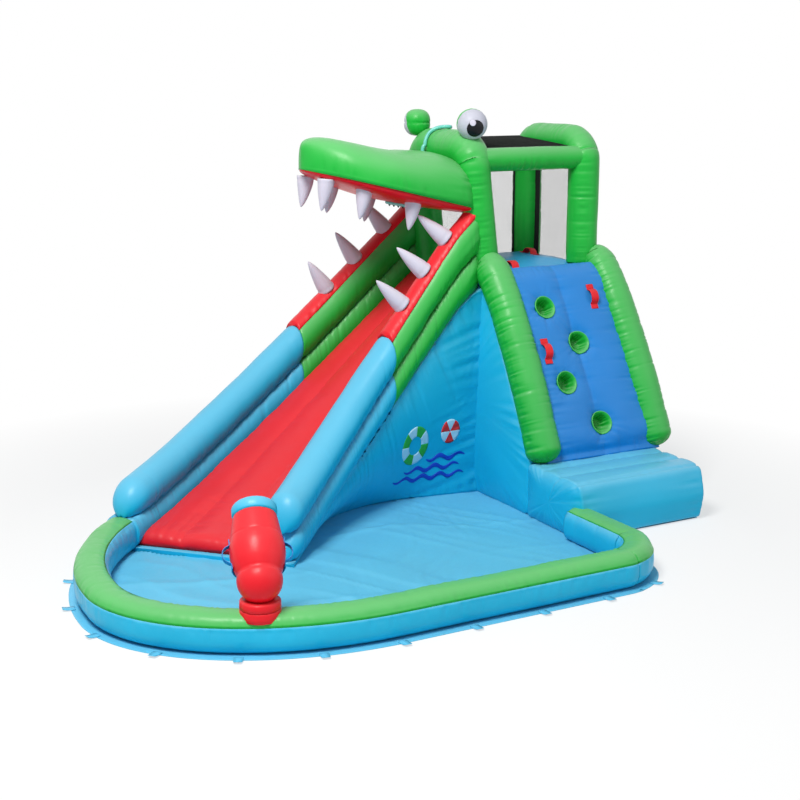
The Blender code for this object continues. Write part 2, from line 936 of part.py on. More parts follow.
def make_landing_mat():
    floor = sheet_thickness + clearance
    front = -(climb_foot_reach + mat_length)
    back = -climb_foot_reach - clearance
    bulge = edge_round * 0.6
    profile = [(back, floor), (back, mat_height / 2)]
    points = mat_lobes * 4
    for k in range(points + 1):
        y = back + (front + edge_round - back) * k / points
        dip = mat_lobe_depth * (1 - abs(math.sin(math.pi * mat_lobes * k / points)) ** 0.7)
        profile.append((y, mat_height - dip))
    profile += [(front + edge_round * 0.25, mat_height - edge_round * 0.35)]
    profile += [(front - bulge * 0.5, mat_height * 0.7), (front - bulge, mat_height * 0.45)]
    profile += [(front - bulge * 0.4, mat_height * 0.15), (front, floor)]
    return puffed_prism("landing_mat", profile, 0.0, tower_depth, side_crown, side_crown, light_blue)


def deck_rise(share):
    """Height of the deck's crown at a share of the way from its rim to its middle."""
    return deck_crown * math.sin(min(max(share, 0.0), 0.85) * math.pi / 2)


def deck_corners():
    return Vector((-overrun * 1.5, -climb_top_reach, 0)), Vector((tower_depth, tower_far_reach, 0))


def deck_top(x, y):
    low, high = deck_corners()
    inset = min(x - low.x, high.x - x, y - low.y, high.y - y)
    half = min(high.x - low.x, high.y - low.y) / 2
    return deck_height + deck_rise((inset - edge_round / 2) / (half - edge_round / 2))


def make_deck():
    """The crowned standing place inside the tower frame."""
    bottom = deck_height - deck_thickness + clearance
    edge = edge_round / 2
    low, high = deck_corners()
    half = min(high.x - low.x, high.y - low.y) / 2
    count = 5

    def ring(inset, height):
        a = low + Vector((inset, inset, 0))
        b = high - Vector((inset, inset, 0))
        corners = [a, Vector((b.x, a.y, 0)), b, Vector((a.x, b.y, 0))]
        sides = []
        for k in range(4):
            p, q = corners[k], corners[(k + 1) % 4]
            sides += [p.lerp(q, i / count) + Vector((0, 0, height)) for i in range(count)]
        return sides

    rings = [
        ring(inset, bottom + (deck_thickness - clearance) * rise)
        for inset, rise in ((0.0, 0.0), (0.0, 0.5), (edge * 0.4, 0.9), (edge, 1.0))
    ]
    for share in (0.25, 0.55, 0.85):
        rings.append(ring(edge + (half - edge) * share, deck_height + deck_rise(share)))
    return loft("tower_deck", rings, light_blue)


# Climbing wall


def slope_frame():
    """Foot of the climbing slope, its upward direction, its outward normal and its length."""
    foot, head = climb_line()
    head = Vector((0, head.y, deck_height))
    up = (head - foot).normalized()
    return foot, up, Vector((0, -up.z, up.y)), (head - foot).length


def on_slope(x, share, height):
    foot, up, normal, length = slope_frame()
    return foot + Vector((x, 0, 0)) + up * (length * share) + normal * height


def climb_edge(side, share):
    """Where a tube beside the climbing wall runs; side is 0 for the slide's side, 1 for the other."""
    foot = (climb_left_foot_x, climb_right_foot_x)[side]
    top = (climb_left_top_x, climb_right_top_x)[side]
    return foot + (top - foot) * share


def panel_top(x, share):
    """Height of the climbing panel over its slope."""
    left, right = climb_edge(0, share), climb_edge(1, share)
    crown = climb_panel_crown * math.sin(math.pi * (0.08 + 0.84 * share)) ** 0.7
    thin = 1 - 0.35 * max(1 - min(share, 1 - share) / 0.1, 0.0) ** 2
    seam = abs(math.sin(2 * math.pi * (x - left) / (right - left))) ** 0.5
    return climb_panel_thickness * thin + crown * seam


def make_climb_panel():
    across = 12
    rings = []
    for share in (0.0, 0.03, 0.12, 0.3, 0.5, 0.7, 0.88, 0.97, 1.0):
        left, right = climb_edge(0, share), climb_edge(1, share)
        ring = [on_slope(x, share, lining_thickness + clearance * 2) for x in (left, right)]
        for k in range(across + 1):
            x = right + (left - right) * k / across
            ring.append(on_slope(x, share, panel_top(x, share)))
        rings.append(ring)
    return loft("climb_panel", rings, royal_blue)


def pocket_places():
    for k, row in enumerate(pocket_rows_share):
        share = 1 - row
        left = climb_edge(0, share) + climb_tube_radius
        right = climb_edge(1, share) - climb_tube_radius
        yield left + (right - left) * pocket_columns_share[k % 2], share


def make_pocket_lining(panel):
    """Foot pockets: a backing sheet with a round cup let into the panel for each foothold."""
    rings = []
    for share in (0.02, 0.97):
        left, right = climb_edge(0, share), climb_edge(1, share)
        low, high = clearance, lining_thickness + clearance
        rings.append([on_slope(x, share, z) for x, z in ((left, low), (right, low), (right, high), (left, high))])
    lining = loft("pocket_lining", rings, green)
    top = climb_panel_thickness + climb_panel_crown + overrun / 2
    outer = pocket_radius - clearance
    inner = pocket_radius - pocket_wall
    for x, share in pocket_places():
        start, end, past = (on_slope(x, share, z) for z in (lining_thickness / 2, top, top * 2))
        cut(panel, cylinder("hole", start, past, pocket_radius, pocket_radius, pocket_sides))
        join(lining, cylinder("collar", start, end, outer, outer, pocket_sides))
        bottom = on_slope(x, share, lining_thickness)
        cut(lining, cylinder("bore", bottom, past, inner, inner, pocket_sides))
    finish(panel, "climb_panel", royal_blue)
    return finish(lining, "pocket_lining", green)


def make_climb_tube(name, side):
    """A tube beside the climbing wall, from its top on the deck to its foot on the mat."""
    shares = (1.10, 1.03, 0.9, 0.75, 0.55, 0.35, 0.18, 0.06, -0.02)
    lifts = (0.0, 0.5, 1.15, 1.5, 1.6, 1.5, 1.25, 1.0, 0.8)
    route = [on_slope(climb_edge(side, share), share, climb_tube_lift * lift) for share, lift in zip(shares, lifts)]
    return tube(name, route, climb_tube_radius, green, (climb_tube_top_round, climb_tube_foot_round))


# Tower frame


def tower_y(side):
    return tower_centre_offset - side * post_half_spacing


def bend_points(x, side, height):
    """The rounded corner between a post and the tube across its top, from the post up."""
    middle = Vector((x, tower_y(side) + side * arch_bend_radius, height - arch_bend_radius))
    return [
        middle + Vector((0, -side * arch_bend_radius * math.cos(a), arch_bend_radius * math.sin(a)))
        for a in np.linspace(0, math.pi / 2, 5)
    ]


def make_arch(name, foot_x, top_x, height, top_radius):
    """Two posts and the tube across them, in one piece."""
    near = [Vector((foot_x, tower_y(1), near_post_foot))]
    far = [Vector((foot_x, tower_y(-1), far_post_foot))]
    for side, route in ((1, near), (-1, far)):
        bend = bend_points(top_x, side, height)
        route.append(route[0].lerp(bend[0], 0.5))
        route.extend(bend)
    middle = [near[-1].lerp(far[-1], share) for share in (0.33, 0.67)]
    swell = top_radius / post_radius
    swells = [1.0] * 3 + [1 + (swell - 1) * share for share in (0.25, 0.5, 0.75, 1.0)]
    return tube(name, near + middle + far[::-1], post_radius, green, swells=swells + [swell] * 2 + swells[::-1])


def make_beam(name, side):
    y = tower_y(side)
    route = [
        Vector((front_top_x + (back_post_x - front_top_x) * share, y, beam_height)) for share in (0.0, 0.33, 0.66, 1.0)
    ]
    return tube(name, route, beam_radius, green)


# Head


def jaw_line(share):
    """The colour border along the jaw: plan position and height at a share from root to tip."""
    x = jaw_root_x - jaw_length * share
    return x, jaw_root_height + (jaw_root_x - x) * math.tan(jaw_pitch)


def jaw_half(share):
    """Half width of the snout in plan: parallel near the face, rounded over the nose."""
    if share <= 1 - jaw_nose_share:
        return jaw_half_width
    along = (share - (1 - jaw_nose_share)) / jaw_nose_share
    return jaw_half_width * max(1 - along**2.3, 0.0) ** 0.62


jaw_stations = (0.0, 0.15, 0.3, 0.45, 0.6, 0.72, 0.82, 0.9, 0.95, 0.98, 0.995)


def half_ring(x, z, half, depth, count, squareness):
    """A half oval standing on its straight side across the head. A negative depth hangs it down."""
    ring = []
    for angle in np.linspace(0, math.pi, count):
        across = math.copysign(abs(math.cos(angle)) ** squareness, math.cos(angle))
        ring.append(Vector((x, tower_centre_offset - half * across, z + depth * math.sin(angle) ** squareness)))
    return ring


def make_jaw():
    rings = []
    for share in jaw_stations:
        x, z = jaw_line(share)
        half = jaw_half(share)
        depth = (jaw_depth + jaw_brow_depth * (1 - share) ** 1.5) * (half / jaw_half_width) ** 0.1
        rings.append(half_ring(x, z, half, depth, 13, 0.74))
    return loft("upper_jaw", rings, green)


def palate_drop(share):
    half = max(jaw_half(share) - palate_inset, palate_inset)
    return palate_depth * (0.55 + 0.45 * math.sin(math.pi * share)) * min(1.0, (half / jaw_half_width) ** 0.5)


def make_palate():
    rings = []
    for share in jaw_stations:
        x, z = jaw_line(share * 0.995)
        half = max(jaw_half(share) - palate_inset, palate_inset)
        rings.append(half_ring(x, z - clearance, half, -palate_drop(share), 11, 0.65))
    return loft("jaw_palate", rings, red)


def make_upper_teeth(palate):
    teeth = []
    for side, side_name in ((1, "near"), (-1, "far")):
        for k, (share, spread) in enumerate(zip(upper_teeth_shares, upper_tooth_spread_shares)):
            x, z = jaw_line(share)
            root = Vector((x, tower_centre_offset - side * jaw_half(share) * spread, z - palate_depth * 0.35))
            direction = Vector((-0.06, 0, -1))
            bend = Vector((-upper_tooth_sweep, 0, 0))
            name = f"{side_name}_upper_tooth_{k + 1}"
            fang = tooth(name, root, direction, bend, upper_tooth_length, upper_tooth_radius)
            teeth.append(fit_around(fang, palate))
    return teeth


def ball_rings(middle, facing, radius, angles, sides=14):
    """Rings on a ball, each at an angle out from the direction that the ball faces."""
    across = facing.orthogonal().normalized()
    other = facing.cross(across)
    rings = []
    for degrees in angles:
        angle = math.radians(degrees)
        centre = middle + facing * (radius * math.cos(angle))
        reach = radius * math.sin(angle)
        rings.append(
            [
                centre + (across * math.cos(a) + other * math.sin(a)) * reach
                for a in np.linspace(0, 2 * math.pi, sides, endpoint=False)
            ]
        )
    return rings


def make_eye(side, side_name, radius, arch):
    """A ball on the arch: a green back, a pale face on its outer side and a dark pupil on that."""
    forward = eye_forward if side > 0 else far_eye_forward
    inset = eye_inset if side > 0 else 0.0
    rise = near_eye_rise if side > 0 else far_eye_rise
    middle = Vector((front_top_x - forward, tower_y(side) + side * inset, front_arch_height + rise))
    facing = Vector((-0.12, -side, -0.22)).normalized()
    face_rings = ball_rings(middle, facing, radius, eye_face_angles)
    seam = [point - facing * clearance for point in face_rings[0]]
    back = loft(side_name + "_eye", ball_rings(middle, facing, radius, eye_back_angles) + [seam], green)
    face = loft(side_name + "_eye_face", face_rings, white)
    fit_around(back, arch)
    fit_around(face, arch)
    inner = ball_rings(middle, facing, radius + clearance, pupil_angles)
    outer = ball_rings(middle, facing, radius + pupil_skin, pupil_angles)
    pupil = loft(side_name + "_pupil", inner[::-1] + outer, black)
    return back, face, pupil


# Nets


def net_marks(length, count):
    """Edges of the bars across a net that has count gaps in its length."""
    cell = (length - 2 * net_border) / count
    marks = [0.0]
    for k in range(count):
        start = net_border + cell * k
        marks += [start + net_bar / 2, start + cell - net_bar / 2]
    return marks + [length]


def make_net(name, corner, along, up, columns, rows, *frames):
    """A flat net: a thin panel with rows of square gaps, trimmed to the tubes that hold it."""
    corner, along, up = Vector(corner), Vector(along), Vector(up)
    half = along.cross(up).normalized() * net_thickness / 2
    xs = net_marks(along.length, columns)
    ys = net_marks(up.length, rows)
    ux, uy = along.normalized(), up.normalized()
    bm = bmesh.new()
    grid = [[[bm.verts.new(corner + ux * x + uy * y + half * s) for s in (-1, 1)] for y in ys] for x in xs]

    def solid(i, j):
        inside = 0 <= i < len(xs) - 1 and 0 <= j < len(ys) - 1
        return inside and not (i % 2 == 1 and j % 2 == 1)

    for i in range(len(xs) - 1):
        for j in range(len(ys) - 1):
            if not solid(i, j):
                continue
            a, b, c, d = grid[i][j], grid[i + 1][j], grid[i + 1][j + 1], grid[i][j + 1]
            bm.faces.new((a[1], b[1], c[1], d[1]))
            bm.faces.new((d[0], c[0], b[0], a[0]))
            if not solid(i, j - 1):
                bm.faces.new((a[0], b[0], b[1], a[1]))
            if not solid(i + 1, j):
                bm.faces.new((b[0], c[0], c[1], b[1]))
            if not solid(i, j + 1):
                bm.faces.new((c[0], d[0], d[1], c[1]))
            if not solid(i - 1, j):
                bm.faces.new((d[0], a[0], a[1], d[1]))
    loose = [vert for vert in bm.verts if not vert.link_faces]
    bmesh.ops.delete(bm, geom=loose, context="VERTS")
    return fit_around(object_of(name, bm, net_black), *frames)


# Water supply


def smooth_route(points, count):
    """Points read from a smooth curve through a route's own points."""
    points = [Vector(p) for p in points]
    padded = [points[0] * 2 - points[1]] + points + [points[-1] * 2 - points[-2]]
    route = []
    for i in range(len(points) - 1):
        p0, p1, p2, p3 = padded[i : i + 4]
        for k in range(count):
            t = k / count
            bend = (p2 - p0) * t + (2 * p0 - 5 * p1 + 4 * p2 - p3) * t**2 + (3 * p1 - p0 - 3 * p2 + p3) * t**3
            route.append(p1 + bend / 2)
    return route + [points[-1]]


def over_arch(y, angle):
    """A point for the hose on the tube across the front arch, at an angle up from its tower side."""
    reach = forehead_radius + hose_radius + running_gap
    return Vector((front_top_x + reach * math.cos(angle), y, front_arch_height + reach * math.sin(angle)))


def round_bend(turn, angle):
    """A point for the hose on the far bend of the front arch, turned from the level tube to the post."""
    reach = forehead_radius + hose_radius + running_gap
    swing = arch_bend_radius + reach * math.sin(angle)
    middle_y = tower_y(-1) - arch_bend_radius
    height = front_arch_height - arch_bend_radius + swing * math.cos(turn)
    return Vector((front_top_x + reach * math.cos(angle), middle_y + swing * math.sin(turn), height))


def palate_point(x, y):
    """A point for the hose half sunk in the palate's underside."""
    share = (jaw_root_x - x) / jaw_length
    _, level = jaw_line(share)
    return Vector((x, y, level - palate_drop(share) - hose_radius + hose_sink))


def hose_route():
    """From the coupling by the ground, up the far post, over the head and down to the spray bar."""
    side_y = tower_far_reach + hose_radius + running_gap
    bow_y = tower_far_reach + hose_radius * hose_coupling_swell + running_gap
    side_angle = math.radians(62)
    post_x = front_foot_x + (post_radius + hose_radius) * math.cos(side_angle)
    up = [Vector((post_x, bow_y, hose_start_height + hose_coupling_length * k)) for k in (0.0, 0.98, 1.0)]
    up += [Vector((post_x, side_y, height)) for height in (hose_bow_height, deck_height * 0.6, deck_height)]
    up.append(Vector((post_x, side_y - (side_y - tower_y(-1)) * 0.25, deck_height + deck_thickness)))
    over = [round_bend(turn, side_angle) for turn in (math.pi / 2, math.pi / 4, 0.0)]
    top = [over_arch(0.04, math.radians(62)), over_arch(-0.05, math.radians(86))]
    top += [over_arch(-0.078, math.radians(108)), over_arch(-0.02, math.radians(128))]
    top += [over_arch(0.04, math.radians(148)), over_arch(hose_port_y, math.radians(172))]
    roof_end = palate_point(hose_port_x, hose_port_y)
    down = [Vector((hose_port_x - hose_radius, hose_port_y, top[-1].z - hose_radius * 4))]
    down.append(Vector((hose_port_x - hose_radius, hose_port_y, roof_end.z + hose_radius * 4)))
    line_x, _ = jaw_line(spray_line_share)
    half = spray_bar_length / 2
    spray = [palate_point(hose_port_x - hose_radius * 4, hose_port_y)]
    spray.append(palate_point(line_x + spray_bar_bend, tower_centre_offset + half - spray_bar_bend))
    spray.append(palate_point(line_x, tower_centre_offset + half * 0.75))
    spray += [palate_point(line_x, tower_centre_offset + half * share) for share in (0.4, 0.0, -0.5, -1.0)]
    return up, smooth_route(over + top + down + spray, 2)


def make_hose():
    """The water line in one piece, with its coupling at the start and jets on its closed end."""
    up, rest = hose_route()
    swells = [hose_coupling_swell] * 2 + [1.0] * (len(up) + len(rest) - 2)
    hose = tube("water_hose", up + rest, hose_radius, hose_green, swells=swells, resolution=1)
    line_x, _ = jaw_line(spray_line_share)
    for share in np.linspace(0.55, -0.9, nozzle_count):
        middle = palate_point(line_x, tower_centre_offset + spray_bar_length / 2 * share)
        tip = middle - Vector((0, 0, hose_radius + nozzle_length))
        join(hose, cylinder("jet", middle, tip, nozzle_radius, nozzle_radius * 0.5, 8))
    return finish(hose, "water_hose", hose_green)


# Air sleeve


def make_sleeve(tower):
    """A soft sleeve sewn to the tower's far side, gathered towards its mouth."""
    start = tower_far_reach - overrun
    x = tower_depth * sleeve_place_share
    rings = []
    for share, swell in ((0.0, 1.0), (0.25, 0.98), (0.5, 0.9), (0.72, 0.66), (0.8, 0.6), (0.9, 0.75), (1.0, 0.92)):
        y = start + (sleeve_length + overrun) * share
        z = sleeve_height - (sleeve_height - sleeve_radius - sheet_thickness * 2) * share**1.5
        radius = sleeve_radius * swell
        rings.append(
            [
                Vector((x + radius * math.cos(a), y, z + radius * math.sin(a)))
                for a in np.linspace(0, 2 * math.pi, 14, endpoint=False)
            ]
        )
    return fit_around(loft("inflation_sleeve", rings, light_blue), tower)


# Water cannon


def cannon_seat_point():
    nose_x, nose_y, _ = pool_nose_centre()
    drop = nose_y - pool_front_y()
    return Vector((nose_x - pool_nose_length * math.cos(cannon_angle), nose_y - drop * math.sin(cannon_angle), 0))


def cannon_axis():
    flat = Vector((math.cos(cannon_heading), math.sin(cannon_heading), 0))
    return flat * math.cos(cannon_pitch) + Vector((0, 0, math.sin(cannon_pitch)))


def turned(name, origin, axis, profile, finish_material, sides=20):
    """A closed shape turned about an axis from distance and radius pairs."""
    across = axis.orthogonal().normalized()
    other = axis.cross(across)
    rings = [
        [
            origin + axis * along + (across * math.cos(a) + other * math.sin(a)) * radius
            for a in np.linspace(0, 2 * math.pi, sides, endpoint=False)
        ]
        for along, radius in profile
    ]
    return loft(name, rings, finish_material)


def barrel_profile():
    """Ball end round the tilting axis, a full body and a slimmer muzzle end."""
    profile = []
    for share in (0.08, 0.25, 0.45, 0.65, 0.85, 1.0):
        angle = cannon_ball_angle * share
        profile.append((-cannon_ball_radius * math.cos(angle), cannon_ball_radius * math.sin(angle)))
    ring_start = cannon_reach - cannon_ring_length
    profile += [(cannon_body_reach * 0.55, cannon_body_radius * 0.95), (cannon_body_reach, cannon_body_radius)]
    middle = (cannon_body_reach + ring_start) / 2
    profile += [(middle, (cannon_body_radius + cannon_muzzle_radius) / 2), (ring_start - clearance, cannon_muzzle_radius)]
    return profile


def make_cannon(pool_wall, rim):
    seat_point = cannon_seat_point()
    upright = Vector((0, 0, 1))
    seat_round = cannon_neck_round / 2
    seat_profile = [(cannon_seat_low, cannon_neck_radius), (cannon_seat_height - seat_round, cannon_neck_radius)]
    seat_profile += [(cannon_seat_height, cannon_neck_radius - seat_round)]
    seat = fit_around(turned("cannon_seat", seat_point, upright, seat_profile, red), rim, pool_wall)

    start = cannon_seat_height + clearance
    top = cannon_seat_height + cannon_neck_height
    dish = cannon_ball_radius + cannon_dish_gap
    pivot = seat_point + Vector((0, 0, top + math.sqrt(dish**2 - cannon_lip_radius**2)))
    profile = [(start, cannon_neck_radius), (top - cannon_neck_round, cannon_neck_radius)]
    profile += [(top, cannon_neck_radius - cannon_neck_round)]
    for share in (1.0, 0.75, 0.45, 0.12):
        reach = cannon_lip_radius * share
        profile.append((pivot.z - math.sqrt(dish**2 - reach**2), reach))
    neck = turned("cannon_neck", seat_point, upright, profile, red)

    axis = cannon_axis()
    barrel = turned("cannon_barrel", pivot, axis, barrel_profile(), red)
    ring_start = cannon_reach - cannon_ring_length
    ring_profile = [(ring_start, cannon_muzzle_radius)]
    ring_profile += [(ring_start + cannon_ring_length * 0.3, cannon_muzzle_radius * cannon_ring_swell)]
    ring_profile += [(ring_start + cannon_ring_length * 0.75, cannon_muzzle_radius * cannon_ring_swell)]
    ring_profile += [(cannon_reach, cannon_muzzle_radius * 0.92)]
    ring = turned("cannon_muzzle", pivot, axis, ring_profile, light_blue)
    bore_start = pivot + axis * (cannon_reach - cannon_bore_depth)
    bore_end = pivot + axis * (cannon_reach + overrun)
    for piece in (barrel, ring):
        cut(piece, cylinder("bore", bore_start, bore_end, cannon_bore_radius, cannon_bore_radius, 16))
    finish(barrel, "cannon_barrel", red)
    finish(ring, "cannon_muzzle", light_blue)
    strap = make_cannon_strap(pivot, axis, barrel)
    return seat, neck, barrel, ring, strap, pivot


def grip_outline(length, rise, thickness, foot):
    """Side outline of a webbing grip: two feet sewn down and a raised middle."""
    half = length / 2
    inner = half - foot
    low = -overrun / 2
    lower = [(-half, low), (-inner, low), (-inner * 0.7, rise * 0.75), (0.0, rise)]
    lower += [(inner * 0.7, rise * 0.75), (inner, low), (half, low)]
    upper = [(half, thickness), (inner * 1.04, thickness), (inner * 0.74, rise * 0.75 + thickness)]
    upper += [(0.0, rise + thickness), (-inner * 0.74, rise * 0.75 + thickness)]
    return lower + upper + [(-inner * 1.04, thickness), (-half, thickness)]


def make_grip(name, middle, along, normal, sizes, width, finish_material):
    along = Vector(along).normalized()
    normal = Vector(normal).normalized()
    across = along.cross(normal)
    rings = [
        [middle + along * a + normal * h + across * width * side for a, h in grip_outline(*sizes)]
        for side in (-0.5, 0.5)
    ]
    return loft(name, rings, finish_material)


def make_cannon_strap(pivot, axis, barrel):
    """Webbing that runs under the barrel and stands off each side of it as a grip."""
    side = axis.cross(Vector((0, 0, 1))).normalized()
    up = side.cross(axis).normalized()
    places, radii = zip(*barrel_profile())
    middle_along = grip_start + grip_length / 2
    grips = []
    for sign in (1, -1):
        ends = [np.interp(middle_along + grip_length / 2 * k, places, radii) for k in (-0.8, 0.8)]
        along = (axis * grip_length * 0.8 + side * sign * (ends[1] - ends[0])).normalized()
        normal = side * sign
        middle = pivot + axis * middle_along + side * sign * sum(ends) / 2
        sizes = (grip_length, grip_rise, strap_thickness, handle_foot)
        grips.append(make_grip("cannon_strap", middle, along, normal, sizes, strap_width, royal_blue))
    band_along = grip_start + handle_foot / 2
    radius = np.interp(band_along, places, radii)
    rings = []
    for a in np.linspace(0, -math.pi, 13):
        out = side * math.cos(a) + up * math.sin(a)
        low, high = radius * 0.94, radius + strap_thickness
        rings.append(
            [
                pivot + axis * (band_along + handle_foot * 0.45 * k) + out * reach
                for reach, k in ((low, -1), (high, -1), (high, 1), (low, 1))
            ]
        )
    strap = loft("cannon_strap", rings, royal_blue)
    for grip in grips:
        join(strap, grip)
    finish(strap, "cannon_strap", royal_blue)
    return fit_around(strap, barrel)


def hang_on(obj, point):
    """Put a moving piece's origin on its joint."""
    obj.data.transform(Matrix.Translation(-point))
    obj.location = point


# Handles


def make_handle(name, middle, along, normal, seat):
    sizes = (handle_length, handle_rise, handle_thickness, handle_foot)
    return fit_around(make_grip(name, middle, along, normal, sizes, handle_width, red), seat)


def make_slope_handle(name, x, down, panel):
    foot, up, normal, length = slope_frame()
    share = 1 - down / length
    return make_handle(name, on_slope(x, share, panel_top(x, share)), up, normal, panel)


def make_deck_handle(name, x, y, deck):
    step = handle_width
    slope_x = (deck_top(x + step, y) - deck_top(x - step, y)) / (2 * step)
    slope_y = (deck_top(x, y + step) - deck_top(x, y - step)) / (2 * step)
    middle = Vector((x, y, deck_top(x, y)))
    return make_handle(name, middle, (0, 1, slope_y), (-slope_x, -slope_y, 1), deck)


# Assembly: ground sheet, tower, slide and pool

base_sheet = make_base_sheet()
tower_base = make_tower_base()
landing_mat = make_landing_mat()
slide_body = fit_around(make_slide_body(), tower_base)
walls = make_slide_walls()
slide_bed = make_slide_bed()
pool_wall, pool_rim = make_pool(landing_mat)
tower_deck = make_deck()

# Tower frame and climbing wall

climb_tube_left = make_climb_tube("climb_tube_left", 0)
climb_tube_right = make_climb_tube("climb_tube_right", 1)
front_arch = make_arch("front_arch", front_foot_x, front_top_x, front_arch_height, forehead_radius)
rear_arch = make_arch("rear_arch", back_post_x, back_post_x, rear_arch_height, post_radius)
fit_around(front_arch, climb_tube_left)
fit_around(rear_arch, climb_tube_right)
near_beam = fit_around(make_beam("near_top_beam", 1), front_arch, rear_arch)
far_beam = fit_around(make_beam("far_top_beam", -1), front_arch, rear_arch)
for tube_piece in (climb_tube_left, climb_tube_right):
    fit_around(tube_piece, landing_mat)
fit_around(tower_base, climb_tube_left, climb_tube_right, front_arch, rear_arch)
fit_around(tower_deck, climb_tube_left, climb_tube_right, front_arch, rear_arch)
climb_panel = make_climb_panel()
pocket_lining = make_pocket_lining(climb_panel)
for piece in (climb_panel, pocket_lining):
    fit_around(piece, climb_tube_left, climb_tube_right, tower_deck, landing_mat, tower_base)

for name, wall in walls.items():
    fit_around(wall, front_arch, tower_base, tower_deck)
    if name.startswith("near"):
        fit_around(wall, climb_tube_left)
fit_around(slide_body, climb_tube_left)
fit_around(slide_bed, tower_base, tower_deck, front_arch)
fit_around(pool_rim, walls["far_upper_tube_blue"], walls["far_lower_tube_blue"])
fit_around(pool_wall, walls["far_lower_tube_blue"], slide_body)

# Head, nets and water line

gums = {
    1: make_gum("near_gum", 1, near_green_share, walls["near_upper_tube_green"]),
    -1: make_gum("far_gum", -1, far_green_share, walls["far_upper_tube_green"]),
}
fit_around(gums[1], front_arch, walls["near_upper_tube_blue"])
fit_around(gums[-1], front_arch, walls["far_upper_tube_blue"])
lower_teeth = make_lower_teeth(gums, walls)

hose = make_hose()
jaw = fit_around(make_jaw(), front_arch, hose)
palate = fit_around(make_palate(), front_arch, hose)
upper_teeth = make_upper_teeth(palate)
near_eye = make_eye(1, "near", near_eye_radius, front_arch)
far_eye = make_eye(-1, "far", far_eye_radius, front_arch)

net_depth = back_post_x - front_top_x
net_foot = deck_height - overrun / 2
roof_net = make_net(
    "roof_net",
    (front_top_x + post_radius / 3, tower_y(1) + beam_radius / 3, beam_height + beam_radius / 3),
    (net_depth - post_radius * 2 / 3, 0, 0),
    (0, 2 * post_half_spacing - beam_radius * 2 / 3, 0),
    6,
    4,
    near_beam,
    far_beam,
    front_arch,
    rear_arch,
)
far_net = make_net(
    "far_side_net",
    (front_top_x, tower_y(-1), net_foot),
    (net_depth, 0, 0),
    (0, 0, beam_height - net_foot),
    6,
    5,
    far_beam,
    front_arch,
    rear_arch,
    tower_deck,
)
back_net = make_net(
    "back_net",
    (back_post_x, tower_y(1), net_foot),
    (0, 2 * post_half_spacing, 0),
    (0, 0, rear_arch_height - net_foot),
    4,
    5,
    rear_arch,
    tower_deck,
    climb_tube_right,
)

# Handles, air sleeve and cannon

climb_handle_left = make_slope_handle("climb_handle_left", 0.232, 0.60, climb_panel)
climb_handle_right = make_slope_handle("climb_handle_right", 0.70, 0.26, climb_panel)
deck_handle_front = make_deck_handle("deck_handle_front", 0.29, -0.36, tower_deck)
deck_handle_back = make_deck_handle("deck_handle_back", 0.70, 0.04, tower_deck)
inflation_sleeve = make_sleeve(tower_base)
cannon_seat, cannon_neck, cannon_barrel, cannon_muzzle, cannon_strap, cannon_pivot = make_cannon(pool_wall, pool_rim)

hang_on(cannon_neck, cannon_seat_point())
for piece in (cannon_barrel, cannon_muzzle, cannon_strap):
    hang_on(piece, cannon_pivot)

# Carry the whole assembly so that the middle of its footprint is the origin

bpy.context.view_layer.update()
pieces = list(parts.objects)
corners = np.array([piece.matrix_world @ vert.co for piece in pieces for vert in piece.data.vertices])
middle = (corners.min(axis=0) + corners.max(axis=0)) / 2
root = bpy.data.objects.new("slide_root", None)
parts.objects.link(root)
for piece in pieces:
    piece.parent = root
root.location = (-middle[0], -middle[1], 0.0)
bpy.context.view_layer.update()
print("Cannon pivot", tuple(round(value, 5) for value in root.matrix_world @ cannon_pivot))
print("Cannon direction", tuple(round(value, 5) for value in cannon_axis()))
print("Footprint shift", tuple(round(value, 5) for value in root.location))
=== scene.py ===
# %% [markdown]
# # Dressing an inflatable water slide
# The real slide is a set of air chambers sewn from coated polyester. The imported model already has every
# chamber in its place, with flat-sided skins. Here each chamber gets a fuller skin with seams and puckers,
# because air pressure and stitching are what make an inflatable look like one. The frame comes first, and
# its box is kept so that the dressed slide can be held to the same size.

# %% Load the frame
import math

